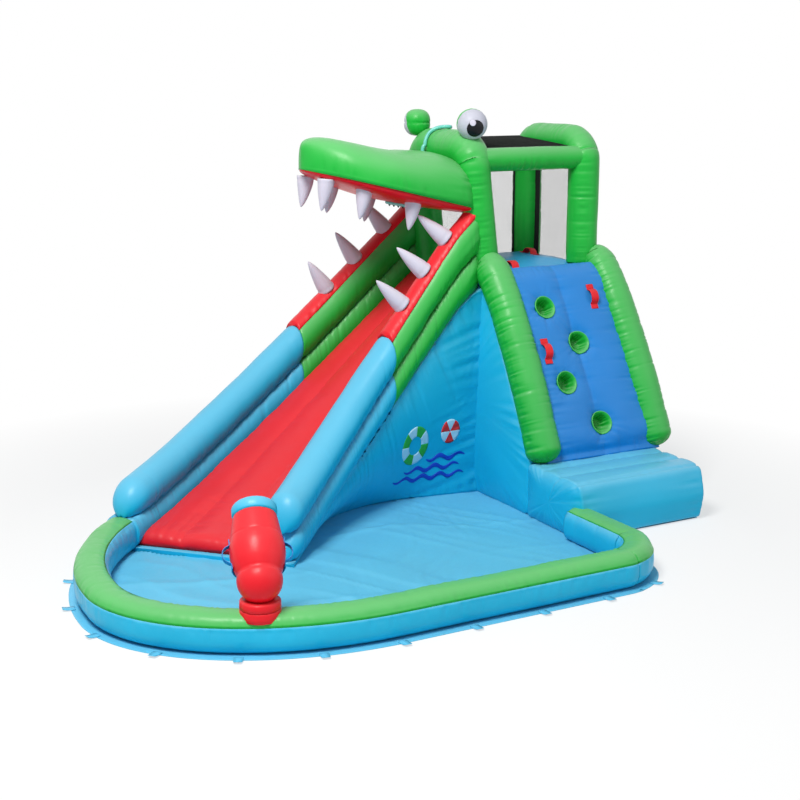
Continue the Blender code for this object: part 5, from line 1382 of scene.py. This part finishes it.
def tab_grid(k):
    """A strip that lies on the hem and curls up a little at its outer end."""
    place = hem_marks[-1] * (first_tab + (last_tab - first_tab) * k / (tab_count - 1))
    middle, ahead = read_off((place, place + 0.02), hem_marks, hem)
    along = unit(ahead - middle)
    out = np.array((-along[1], along[0]))
    share = np.linspace(-0.5, 1.0, 10)
    curl = 0.0042 + 0.010 * np.maximum(share - 0.2, 0) ** 2 + 0.002 * chance(np.array(k), 3)
    rows = []
    for s, lift in zip(share, curl):
        half = tab_width / 2 * (1 - 0.25 * max(s, 0) ** 2)
        ring = ((-half, lift), (half, lift), (half, lift + tab_thickness), (-half, lift + tab_thickness))
        rows.append([(*(middle + along * a + out * tab_length * s), z) for a, z in ring])
    return np.array(rows)


peg_tabs = piece("base_sheet", [tab_grid(k) for k in range(tab_count)], light_blue, name="peg_tabs")
print("Peg tabs:", tab_count)

# %% Pool floor
floor_pitch, floor_warp, warp_size = 0.02, 0.10, 0.45
floor_folds = ((0.5, 0.13, 0.010), (1.35, 0.19, 0.010), (2.5, 0.16, 0.008), (-0.3, 0.09, 0.005))


def inside(points, outline):
    """Which points lie inside a closed outline."""
    x, y = points[..., 0], points[..., 1]
    found = np.zeros(x.shape, bool)
    for (ax, ay), (bx, by) in zip(outline, np.roll(outline, -1, 0)):
        crosses = (ay > y) != (by > y)
        found ^= crosses & (x < (bx - ax) * (y - ay) / (by - ay + 1e-15) + ax)
    return found


def floor_edge():
    """Outline of the sheet's part inside the pool, which ends unseen under the slide."""
    centre, across = slide_line(stops(0.3, slide_length, 0.1)[::-1])
    under_slide = (centre - across * 0.1)[:, :2]
    return np.vstack([pool_path, under_slide, [(0.0, 0.0), (0.03, -climb_foot_reach)]])


def floor_points(edge):
    """A flat grid over the outline, raised in loose wrinkles that run four ways."""
    axes = [np.arange(low, high, floor_pitch) for low, high in zip(edge.min(axis=0), edge.max(axis=0))]
    plan = np.stack(np.meshgrid(*axes, indexing="ij"), axis=-1)
    flat = np.concatenate([plan, 0 * plan[..., :1]], axis=-1)
    warped = plan + floor_warp * np.stack([lumps(flat, warp_size, seed) for seed in (261, 262)], axis=-1)
    fold = np.zeros(plan.shape[:2])
    for k, (turn, spacing, depth) in enumerate(floor_folds):
        across_fold = warped @ (math.cos(turn), math.sin(turn))
        fade = np.clip(lumps(flat, 0.5, 270 + k) + 0.45, 0, 1)
        level = np.abs(2 * wander(across_fold / spacing, 265 + k) - 1)
        fold += depth * fade * fading_out(level, 0.5)
    return np.concatenate([plan, (sheet_thickness + 0.001 + fold)[..., None]], axis=-1)


edge = floor_edge()
floor_grid = floor_points(edge)
keep = inside((floor_grid[:-1, :-1] + floor_grid[1:, 1:]) / 2, edge)
index = np.arange(floor_grid[..., 0].size).reshape(floor_grid.shape[:2])
quads = four_corners(index)[keep][:, [0, 3, 2, 1]]
mesh = bpy.data.meshes.new("pool_floor")
mesh.from_pydata((floor_grid.reshape(-1, 3) + tower_corner).tolist(), [], quads.tolist())
bm = bmesh.new()
bm.from_mesh(mesh)
bmesh.ops.delete(bm, geom=[v for v in bm.verts if not v.link_faces], context="VERTS")
bm.to_mesh(mesh)
bm.free()
places = np.array([mesh.vertices[loop.vertex_index].co[:2] for loop in mesh.loops], np.float32)
mesh.uv_layers.new(name="UVMap").data.foreach_set("uv", places.ravel())
pool_floor = hang("pool_floor", mesh, light_blue, "base_sheet")
print("Pool floor:", len(quads), "faces, area", round(area_of(edge), 2))

# %% [markdown]
# ## Eyes
# The eyes are balls on the forehead tube: a green back, a white face and a black pupil with a glint. A ring
# of small gathers shows where white meets green. They are caps of a sphere turned to face outwards. The far
# eye is made of two flatter halves with a sewn belt between them.

# %% Eyes
eye_puckers, eye_groove, belt_groove = (0.022, 0.03, 0.006), (0.004, 0.003), (0.005, 0.005)
eye_sizes = {1: (0.100, 0.007, 0.03, 0.165, 0.0, 96), -1: (0.090, 0.045, 0.0, 0.157, 0.07, 74)}


def eye_cap(ball, axis, start, end, rings, grow=0.0, seam=None):
    """Part of a ball between two angles from an axis, with gathers at its seam and at the ball's belt."""
    middle, radius, right, belt = ball
    out = np.radians(np.linspace(start, end, rings))[:, None]
    angle = round_angles(48)
    other = np.cross(axis, right)
    spread = spokes(np.cross(other, axis), other, angle)
    way = axis * np.cos(out)[..., None] + spread * np.sin(out)[..., None]
    level = way @ up_axis
    reach = (radius + grow) * (1 + belt * 4 * level**2 * (1 - level**2))
    if seam is not None:
        away = np.abs(out - math.radians(seam)) * radius
        reach = reach + creases(angle * radius, away, eye_puckers, 280) + groove(away, *eye_groove)
    if belt:
        away, along = np.abs(level) * radius, np.arctan2(way[..., 1], way[..., 0]) * radius
        reach = reach + groove(away, *belt_groove) + creases(along, away, eye_puckers, 286)
    return middle + way * reach[..., None]


for side, side_name in both_sides:
    radius, forward, inset, rise, belt, rim = eye_sizes[side]
    middle = np.array((front_top_x - forward, tower_y(side) + side * inset, front_arch_height + rise))
    facing = unit((-0.30, -side, -0.30))
    right = unit(np.cross(facing, up_axis))
    top = np.cross(right, facing)
    glint_axis = unit(facing + top * 0.42 + right * 0.22 * side)
    ball = (middle, radius, right, belt)
    back = eye_cap(ball, facing, 176, rim, 30, seam=rim)
    face = eye_cap(ball, facing, rim, 2, 34, seam=rim)
    pupil = eye_cap(ball, facing, 33, 1, 12, grow=0.0022)
    glint = eye_cap(ball, glint_axis, 12, 1, 6, grow=0.0032)
    piece(side_name + "_eye", back, green, name=side_name + "_eye_back")
    piece(side_name + "_eye_face", face, eye_white, name=side_name + "_eye_white")
    piece(side_name + "_pupil", pupil, black, name=side_name + "_pupil_disc")
    piece(side_name + "_pupil", glint, white, name=side_name + "_pupil_glint")
print("Eyes done,", len(finished), "pieces so far")

# %% [markdown]
# ## Nets
# The roof and two sides of the deck are closed with black net. The cords are thin, so seen square on the
# net is nearly clear, and seen along its face it turns dark. Only real cords do that, so each cord is a
# thin four-sided tube, and all cords of a net are one mesh. The real net's knots are left out, as too small
# to see.

# %% Nets
net_pitch, net_cord, webbing_half = 0.0075, 0.0014, 0.0012
net_depth = back_post_x - front_top_x
net_foot = deck_height - 0.01
nets = {  # A corner, two edges, the sag, and the webbing's widths at the start and end of both edges.
    "roof_net": (
        (front_top_x + 0.035, tower_y(1) + 0.01, beam_height + 0.073),
        (net_depth - 0.07, 0, 0), (0, 2 * post_half_spacing - 0.02, 0.045), 0.012, (0.03, 0.03, 0.03, 0.05),
    ),
    "far_side_net": (
        (front_top_x, tower_y(-1), net_foot),
        (net_depth, 0, 0), (0, 0, beam_height - net_foot), 0.004, (0.11, 0.122, 0.02, 0.10),
    ),
    "back_net": (
        (back_post_x, tower_y(1), net_foot),
        (0, 2 * post_half_spacing, 0), (0, 0, rear_arch_height - net_foot), 0.004, (0.11, 0.16, 0.02, 0.12),
    ),
}


def four_sided(line, one, other, size):
    """A thin square cord along a line, between two directions square to it."""
    return line[:, None] + np.array([one, other, -one, -other])[None] * size


def net_parts(corner, along, up, sag, webbing):
    """The cords both ways across a net, and the webbing along its four edges."""
    corner, along, up = (np.asarray(v, float) for v in (corner, along, up))
    long, tall = np.linalg.norm(along), np.linalg.norm(up)
    normal = np.cross(along, up) / long / tall

    def place(u, v):
        low = sag * np.sin(math.pi * u) * np.sin(math.pi * v)
        return corner + along * u[..., None] + up * v[..., None] + normal * low[..., None]

    run, cords = np.linspace(0, 1, 6), []
    for u in np.linspace(0.02, 0.98, int(long / net_pitch)):
        cords.append(four_sided(place(0 * run + u, run), along / long, normal, net_cord / 2))
    for v in np.linspace(0.02, 0.98, int(tall / net_pitch)):
        cords.append(four_sided(place(run, 0 * run + v), up / tall, normal, net_cord / 2))
    run, strips = np.linspace(0, 1, 12), []
    left, right, bottom, top = np.array(webbing) / (long, long, tall, tall)
    edges = (True, (0, left)), (True, (1 - right, 1)), (False, (0, bottom)), (False, (1 - top, 1))
    for upright, ends in edges:
        low, high = (place(0 * run + e, run) if upright else place(run, 0 * run + e) for e in ends)
        thick = normal * webbing_half
        strips.append(np.stack([low - thick, high - thick, high + thick, low + thick], axis=1))
    return cords, strips, long, tall


for name, sizes in nets.items():
    cords, strips, long, tall = net_parts(*sizes)
    border = piece(name, strips, net_black, name=name + "_border")
    net = piece(name, cords, net_black, name=name + "_cords")
    print(name, "cords:", len(cords), "size", round(long, 3), round(tall, 3))

# %% [markdown]
# ## Water hose
# A turquoise hose comes up the far post, over the forehead in a low bow and through the snout to a row of
# jets under the palate. It is held all the way, so its route is read from the pieces that it touches.

# %% Hose route
hose_radius = 0.0125
arch_touch = forehead_radius + hose_radius + 0.0015
post_turn = math.radians(62)
bow_points = [(62, 0.08), (78, -0.03), (92, -0.03), (110, 0.01), (130, 0.028), (150, 0.028), (172, 0.022)]
port_x, port_y = -0.175, 0.02
spray_share, spray_half = 0.36, 0.17


def over_arch(degrees, y):
    a = math.radians(degrees)
    return (front_top_x + arch_touch * math.cos(a), y, front_arch_height + arch_touch * math.sin(a))


def round_bend(turn):
    swing = bend_radius + arch_touch * math.sin(post_turn)
    y = tower_y(-1) - bend_radius + swing * math.sin(turn)
    height = front_arch_height - bend_radius + swing * math.cos(turn)
    return (front_top_x + arch_touch * math.cos(post_turn), y, height)


def palate_point(x, y):
    share = np.array((jaw_root_x - x) / jaw_length)
    level = jaw_root_height + (jaw_root_x - x) * math.tan(jaw_pitch)
    return (x, y, level - float(palate_drop(share)) - hose_radius + 0.010)


side_y = tower_far_reach + hose_radius + 0.0015
post_x = front_foot_x + (post_radius + hose_radius) * math.cos(post_turn)
hose_route = [(post_x, side_y + 0.0088, h) for h in (0.16, 0.185, 0.209)]
hose_route += [(post_x, side_y, h) for h in (0.22, 0.40, 0.9, 1.5)]
hose_route.append((post_x, side_y - (side_y - tower_y(-1)) * 0.25, 1.57))
hose_route += [round_bend(turn) for turn in (math.pi / 2, math.pi / 4, 0.0)]
bow = smooth_line([(*point, 0) for point in bow_points], 7.0)[1]
hose_route += [over_arch(degrees, y) for degrees, y, _ in bow]
hose_route.append((port_x - hose_radius, port_y, hose_route[-1][2] - 0.05))
hose_route.append((port_x - hose_radius, port_y, palate_point(port_x, port_y)[2] + 0.05))
spray_x = jaw_root_x - jaw_length * spray_share
hose_route.append(palate_point(port_x - 0.05, port_y))
hose_route.append(palate_point(spray_x + 0.05, tower_middle + spray_half - 0.05))
hose_route += [palate_point(spray_x, tower_middle + spray_half * s) for s in (0.75, 0.4, 0.0, -0.5, -1.0)]
print("Hose route:", len(hose_route), "points")

# %% Hose
jet_radii = (0.008, 0.0075, 0.004)
coupling_share = 1.7


def plain_tube(route, radii, around=16, step=fine):
    """A smooth tube whose rings don't twist along it."""
    marks, line = smooth_line(np.hstack([route, np.reshape(radii, (-1, 1))]), step)
    tangent = unit(np.gradient(line[:, :3], axis=0))
    side = np.zeros_like(tangent)
    side[0] = unit(np.cross(tangent[0], (0.3, 0.9, 0.2)))
    for i in range(1, len(side)):
        side[i] = unit(side[i - 1] - tangent[i] * (side[i - 1] @ tangent[i]))
    spread = spokes(side, np.cross(tangent, side), round_angles(around))
    return marks, line[:, None, :3] + spread * line[:, 3][:, None, None]


radii = np.full(len(hose_route), hose_radius)
radii[:2] *= coupling_share
hose_marks, hose_grid = plain_tube(hose_route, radii)
piece("water_hose", hose_grid, hose_green)
jets = []
for share in np.linspace(0.55, -0.9, 5):
    top = np.array(palate_point(spray_x, tower_middle + spray_half * share))
    route = [top - up_axis * down for down in (0, 0.012, hose_radius + 0.010)]
    jets.append(plain_tube(route, jet_radii, 14, 0.003)[1])
piece("water_hose", jets, net_black, name="spray_jets")
print("Hose length:", round(float(hose_marks[-1]), 2), "m")

# %% [markdown]
# ## Handles
# The climber holds red webbing loops. Each is one strip, flat at both feet and raised between them, with a
# box of stitches on each foot. A strip with a thin rounded section along a curve is all that it takes.

# %% Handles
handle_length, handle_width, handle_thickness, handle_rise, handle_foot = 0.17, 0.055, 0.008, 0.035, 0.035
stitch_pitch, stitch_half = 0.0055, 0.0007
climb_handles = (("climb_handle_left", 0.232, 0.60), ("climb_handle_right", 0.70, 0.26))
deck_handles = (("deck_handle_front", 0.29, -0.36), ("deck_handle_back", 0.70, 0.04))
thread = cloth("red_fabric", (0.55, 0.02, 0.03), spread=0.5, fading=0.02, **uncoated, name="red thread")


def strap_skin(middle, along, normal, length, width, thickness, rise):
    """A webbing loop that lies flat at its feet and stands off in between."""
    along, normal = unit(along), unit(normal)
    across = np.cross(along, normal)
    place = np.linspace(-length / 2, length / 2, int(length / 0.004))
    share = np.clip(np.abs(place) / (length / 2 - handle_foot), 0, 1)
    lift = rise * (1 - share**2.6) ** 0.8
    line = middle + np.outer(place, along) + np.outer(lift + thickness * 0.45, normal)
    square = np.cross(across, unit(np.gradient(line, axis=0)))
    a = round_angles(24)
    wide = squared(np.cos(a), 0.3) * width / 2
    thick = squared(np.sin(a), 0.7) * thickness / 2 * np.sign((square @ normal).mean())
    return line[:, None] + across * wide[:, None] + square[:, None] * thick[:, None]


def stitch_box(middle, along, normal, foot_place):
    """Short raised stitches round a handle's foot."""
    along, normal = unit(along), unit(normal)
    across = np.cross(along, normal)
    on_top = middle + along * foot_place + normal * handle_thickness * 0.98
    corners = np.array([(-1, -1), (1, -1), (1, 1), (-1, 1)]) * (handle_foot * 0.36, handle_width * 0.38)
    dashes = []
    for a, b in zip(corners, np.roll(corners, -1, 0)):
        count = int(np.linalg.norm(b - a) / stitch_pitch)
        for i in range(count):
            ends = np.array([a + (b - a) * (i + s) / count for s in (0.15, 0.8)])
            line = on_top + along * ends[:, :1] + across * ends[:, 1:]
            dashes.append(four_sided(line, unit(np.cross(line[1] - line[0], normal)), normal, stitch_half))
    return dashes


def deck_top(x, y):
    inset = min(x - deck_low[0], deck_high[0] - x, y - deck_low[1], deck_high[1] - y)
    half = min(deck_high - deck_low) / 2
    return deck_height + deck_swell(max((inset - deck_edge) / (half - deck_edge), 0.0))


handles = []
for name, x, down in climb_handles:
    share = 1 - down / slope_length
    handles.append((name, on_slope(x, share, float(panel_top(x, share)) - 0.002), slope_up, slope_out))
for name, x, y in deck_handles:
    slope_x = (deck_top(x + 0.055, y) - deck_top(x - 0.055, y)) / 0.11
    slope_y = (deck_top(x, y + 0.055) - deck_top(x, y - 0.055)) / 0.11
    handles.append((name, np.array((x, y, deck_top(x, y) - 0.002)), (0, 1, slope_y), (-slope_x, -slope_y, 1)))
for name, *place in handles:
    skin = strap_skin(*place, handle_length, handle_width, handle_thickness, handle_rise)
    piece(name, skin, red, name=name + "_strap")
    foot_middle = (handle_length - handle_foot) / 2
    stitches = stitch_box(*place, -foot_middle) + stitch_box(*place, foot_middle)
    piece(name, stitches, thread, name=name + "_stitches")
print("Handles:", len(handles))

# %% [markdown]
# ## Inflation sleeve
# The blower's sleeve is sewn to the tower's far side. With no blower on it, it hangs to the ground, tied in
# a neck near its mouth. Folds run into the tie, which is a ring of pleats that deepens towards it.

# %% Sleeve
sleeve_start, sleeve_length = tower_far_reach - overrun, 0.24 + overrun
sleeve_x, sleeve_height, sleeve_radius, sleeve_lowest = tower_depth * 0.62, 0.16, 0.075, 0.007
swell_places, swells = (0, 0.25, 0.5, 0.72, 0.8, 0.9, 1.0), (1.0, 0.98, 0.9, 0.66, 0.58, 0.75, 0.92)
tie_row, tie_share, tie_half = 47, 0.07, 0.006


def sleeve_skin():
    share = np.linspace(0, 1, 60)[:, None]
    swell = np.interp(share, swell_places, swells)
    neck = bell(share - 0.79, 0.16)
    angle = round_angles(72)
    pleats = 0.10 * neck * np.sin(11 * angle + 3 * wander(angle * 3, 290)) + 0.03 * neck * np.sin(23 * angle)
    reach = sleeve_radius * swell * (1 - 0.04 * neck + pleats * 0.8)
    z = sleeve_height - (sleeve_height - sleeve_radius - 0.008) * share**1.5 + reach * np.sin(angle)
    y = sleeve_start + sleeve_length * share + 0 * reach
    return np.stack([sleeve_x + reach * np.cos(angle), y, np.maximum(z, sleeve_lowest)], axis=-1)


sleeve = sleeve_skin()
piece("inflation_sleeve", sleeve, light_blue)
neck_middle = sleeve[tie_row].mean(axis=0)
tie = neck_middle + (sleeve[tie_row] - neck_middle) * 1.04
along_sleeve = np.array((0, tie_half, 0))
turns = [(tie - neck_middle) * tie_share * math.cos(a) + along_sleeve * math.sin(a) for a in round_angles(10)]
tie_grid = np.stack([tie + turn for turn in turns], axis=1)
piece("inflation_sleeve", tie_grid, royal_blue, name="sleeve_tie", ring=True)
print("Sleeve done")

# %% [markdown]
# ## Water cannon
# A fat red cannon leans on the pool wall. Its ball end rests in a soft collar, so it tilts and turns, and
# its muzzle is blue with a deep bore. Turned shapes suit it: a profile of distance and radius, spun about
# the cannon's own axis, with gathers at each seam ring.

# %% Cannon place
cannon_angle, cannon_pitch, cannon_heading = math.radians(57), math.radians(42), math.radians(71)
swivel_radius, lip_radius, ball_radius, ball_gap = 0.105, 0.066, 0.115, 0.0014
seat_height, swivel_height = 0.225, 0.045
seat_reach = np.array((nose_length * math.cos(cannon_angle), (nose[1] - pool_front) * math.sin(cannon_angle)))
seat_point = np.array((*(nose - seat_reach), 0.0))
dish = ball_radius + ball_gap
pivot = seat_point + up_axis * (seat_height + swivel_height + math.sqrt(dish**2 - lip_radius**2))
level_way = np.array((math.cos(cannon_heading), math.sin(cannon_heading), 0.0))
cannon_axis = level_way * math.cos(cannon_pitch) + up_axis * math.sin(cannon_pitch)
print("Cannon turns about", np.round(pivot + tower_corner, 4))

# %% Turned pieces
turned_groove = (0.005, 0.002)


def turned_skin(origin, axis, profile, seams, seed, depth=0.003):
    """A profile of (distance, radius) pairs spun about an axis, with gathers at its seams."""
    along, radius = np.transpose(profile)
    radius = np.maximum(radius, 0.0015)[:, None]
    angle = round_angles(56)
    height = 0 * angle
    for k, seam in enumerate(seams):
        away = np.abs(along - seam)[:, None]
        gathers = creases(angle * radius.max(), away, (0.02, 0.04, depth), seed + k)
        height = height + gathers + groove(away, *turned_groove)
    side = unit(np.cross(axis, up_axis if abs(axis[2]) < 0.95 else (0.0, 1.0, 0.0)))
    wide = radius + height * np.minimum(radius / radius.max() * 1.5, 1)
    return origin + axis * along[:, None, None] + spokes(side, np.cross(axis, side), angle) * wide[..., None]


print("Stitches pull a turned piece in by", turned_groove[1] * 1000, "mm")

# %% Barrel and muzzle
body_radius, body_reach, muzzle_radius, reach, ring_length, bore = 0.14, 0.17, 0.112, 0.42, 0.065, 0.045
ring_start, bore_end = reach - ring_length, reach - 0.26
face = ring_start - 0.001
muzzle_shares = [(0, 1), (0.012, 1.03), (0.03, 1.04), (0.05, 1.035)]
muzzle_shares += [(ring_length - 0.006, 0.985), (ring_length, 0.93)]
angles = np.radians(105) * np.linspace(0.03, 1, 12)
outline = [(-ball_radius * math.cos(a), ball_radius * math.sin(a)) for a in angles]
outline += [(body_reach * 0.55, body_radius * 0.95), (body_reach, body_radius)]
outline.append(((body_reach + ring_start) / 2, (body_radius + muzzle_radius) / 2))
outline.append((ring_start - 0.0005, muzzle_radius))
outer = smooth_line([(*point, 0) for point in outline], 0.006)[1][:, :2]
bore_run = [(face - (ring_start - bore_end) * s, bore) for s in np.linspace(0.1, 1, 8)]
inner_run = [(face, muzzle_radius * 0.97), (face, bore), *bore_run, (bore_end, bore * 0.5)]
barrel_seams = (0.035, body_reach * 1.35, ring_start)
barrel = turned_skin(pivot, cannon_axis, np.vstack([outer, inner_run]), barrel_seams, 310)
piece("cannon_barrel", barrel, red, body="cannon")
muzzle_profile = [(ring_start + ahead, muzzle_radius * share) for ahead, share in muzzle_shares]
muzzle_profile += [(reach, muzzle_radius * 0.7), (reach - 0.002, bore + 0.012)]
muzzle_profile += [(place, bore) for place in (reach - 0.008, ring_start + 0.02, ring_start)]
muzzle = turned_skin(pivot, cannon_axis, muzzle_profile, (ring_start,), 320)
piece("cannon_muzzle", muzzle, light_blue, body="cannon", ring=True)
print("Barrel and muzzle done")

# %% Cannon seat and collar
seat_low, swell_height = 0.17, 0.195
seat_profile = [(seat_low, 0.001), (seat_low, swivel_radius * 0.9), (seat_low + 0.002, swivel_radius)]
seat_profile += [(swell_height, swivel_radius * 1.004), (0.216, swivel_radius)]
seat_profile.append((seat_height - 0.002, swivel_radius - 0.003))
seat_profile += [(seat_height, swivel_radius - 0.008), (seat_height, 0.001)]
seat = turned_skin(seat_point, up_axis, seat_profile, (0.2,), 330)
piece("cannon_seat", seat, red)
low, top = seat_height + 0.0005, seat_height + swivel_height
collar_profile = [(low, 0.001), (low, swivel_radius - 0.006), (low + 0.004, swivel_radius)]
collar_profile += [(low + 0.02, swivel_radius * 1.01), (top - 0.010, swivel_radius * 0.99)]
collar_profile += [(top - 0.003, swivel_radius - 0.006), (top, swivel_radius - 0.014)]
collar_profile.append((top, lip_radius + 0.004))
dish_radii = [lip_radius * s for s in (1.0, 0.8, 0.6, 0.4, 0.2, 0.03)]
collar_profile += [(pivot[2] - math.sqrt(dish**2 - r**2), r) for r in dish_radii]
collar = turned_skin(seat_point, up_axis, collar_profile, (low + 0.022,), 340, depth=0.005)
piece("cannon_neck", collar, red, name="cannon_collar_skin", body="swivel")
print("Seat and collar done")

# %% Cannon strap
strap_width, strap_thickness = 0.032, 0.005
grip_start, grip_length, grip_rise = 0.06, 0.17, 0.04
side_way = unit(np.cross(cannon_axis, up_axis))
top_way = np.cross(side_way, cannon_axis)
grip_middle, grip_reach = grip_start + grip_length / 2, grip_length * 0.8


def barrel_radius(along):
    beyond_ball = outer[outer[:, 0] > 0]
    return float(np.interp(along, *beyond_ball.T))


grips = []
for way in (side_way, -side_way):
    ends = [barrel_radius(grip_middle + grip_reach / 2 * k) for k in (-1, 1)]
    along = cannon_axis * grip_reach + way * (ends[1] - ends[0])
    middle = pivot + cannon_axis * grip_middle + way * sum(ends) / 2
    grips.append(strap_skin(middle, along, way, grip_length, strap_width, strap_thickness, grip_rise))
piece("cannon_strap", grips, royal_blue, name="cannon_grips", body="cannon")
band_along = grip_start + handle_foot / 2
band_radius = barrel_radius(band_along)
band_out = spokes(side_way, top_way, np.linspace(0, -math.pi, 60))
band_lines = []
for thick, k in ((0.98, -1), (0.98, 1), (1.0, 1), (1.0, -1)):
    from_axis = band_radius * thick + (strap_thickness if thick == 1.0 else 0.0)
    band_lines.append(pivot + cannon_axis * (band_along + handle_foot * 0.45 * k) + band_out * from_axis)
piece("cannon_strap", np.stack(band_lines, axis=1), royal_blue, name="cannon_band", body="cannon")
print("Pieces so far:", len(finished))

# %% [markdown]
# ## A picture on the side panel
# The near side panel carries a large print. It is a plain picture of waves, a swim ring and a ball, made of
# thin layers of ink that follow the panel: each shape is drawn flat in metres and laid on the bulging
# cloth.

# %% Print on the panel
ink_lift, wave_half, wave_rise = 0.0022, 0.016, 0.015
waves = ((0.12, 0.62, 0.16, 4), (0.16, 0.50, 0.225, 3), (0.12, 0.34, 0.29, 2))
ring_place, ball_place = (0.60, 0.41, 0.065, 0.135, 8), (0.26, 0.47, 0.004, 0.085, 6)
body_grid = body_skin()
body_out = outward(body_grid)


def ink(slot, dye, name):
    return cloth(slot, dye, spread=0.35, fading=0.02, crinkle=0.0003, painted_sheen=0.0, name=name)


def on_panel(down, high, lift):
    """Points on the near side panel, from metres down the slide and metres above the ground."""
    top = bed_height(down) - bed_thickness
    row = np.clip((down - body_start) / (slide_length - body_start), 0, 0.999) * (len(body_grid) - 1)
    column = np.clip((high - ground_gap) / (top - ground_gap), 0, 0.999) * (near_rows - 1)
    r, c = row.astype(int), column.astype(int)
    a, b = (row - r)[..., None], (column - c)[..., None]
    skin = body_grid + body_out * lift
    lower = skin[r, c] * (1 - a) + skin[r + 1, c] * a
    upper = skin[r, c + 1] * (1 - a) + skin[r + 1, c + 1] * a
    return lower * (1 - b) + upper * b


def layer_of_ink(down, high):
    """A thin closed layer on the panel, from a flat grid of places."""
    under = on_panel(down[:, ::-1], high[:, ::-1], -ink_lift)
    return np.concatenate([on_panel(down, high, ink_lift), under], axis=1)


def wave_layer(start, length, level, crests):
    run = np.linspace(0, 1, 70)[:, None]
    half = wave_half * (0.12 + 0.88 * np.sin(math.pi * run) ** 0.5) * np.linspace(-1, 1, 4)
    high = level + wave_rise * np.sin(run * 2 * math.pi * crests) + half
    return layer_of_ink(start + length * run + 0 * half, high)


def sector_layers(down, high, inner, outer, sectors, first):
    """Every second sector of a ring or disc."""
    made = []
    for k in range(first, sectors, 2):
        angle = (k + np.linspace(0, 1, 12)[:, None]) * 2 * math.pi / sectors
        reach = np.linspace(inner, outer, 7)
        made.append(layer_of_ink(down + reach * np.cos(angle), high + reach * np.sin(angle)))
    return made


ink_blue = ink("royal_blue_fabric", (0.01, 0.06, 0.50), "blue ink")
ink_pale = ink("white_fabric", (0.45, 0.70, 0.85), "pale ink")
ink_green = ink("green_fabric", (0.03, 0.40, 0.05), "green ink")
ink_red = ink("red_fabric", (0.75, 0.03, 0.03), "red ink")
piece("slide_body", [wave_layer(*wave) for wave in waves], ink_blue, name="print_waves")
for name, place, first, finish in (
    ("print_ring_green", ring_place, 0, ink_green),
    ("print_ring_pale", ring_place, 1, ink_pale),
    ("print_ball_red", ball_place, 0, ink_red),
    ("print_ball_pale", ball_place, 1, ink_pale),
):
    piece("slide_body", sector_layers(*place, first), finish, name=name)
print("Print:", len(waves), "waves, a ring and a ball")

# %% [markdown]
# ## Size
# The dressed slide has to stay in the imported model's box, apart from the little that cloth may stand proud.
# Both boxes are measured, and the last line prints how much the dressed one has grown.

# %% Size and finish
dressed_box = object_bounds()
growth = [round(b - a, 4) for a, b in zip(cad_box[1] - cad_box[0], dressed_box[1] - dressed_box[0])]
print("Pieces:", len(finished), "faces:", sum(len(o.data.polygons) for o in finished), "growth:", growth)
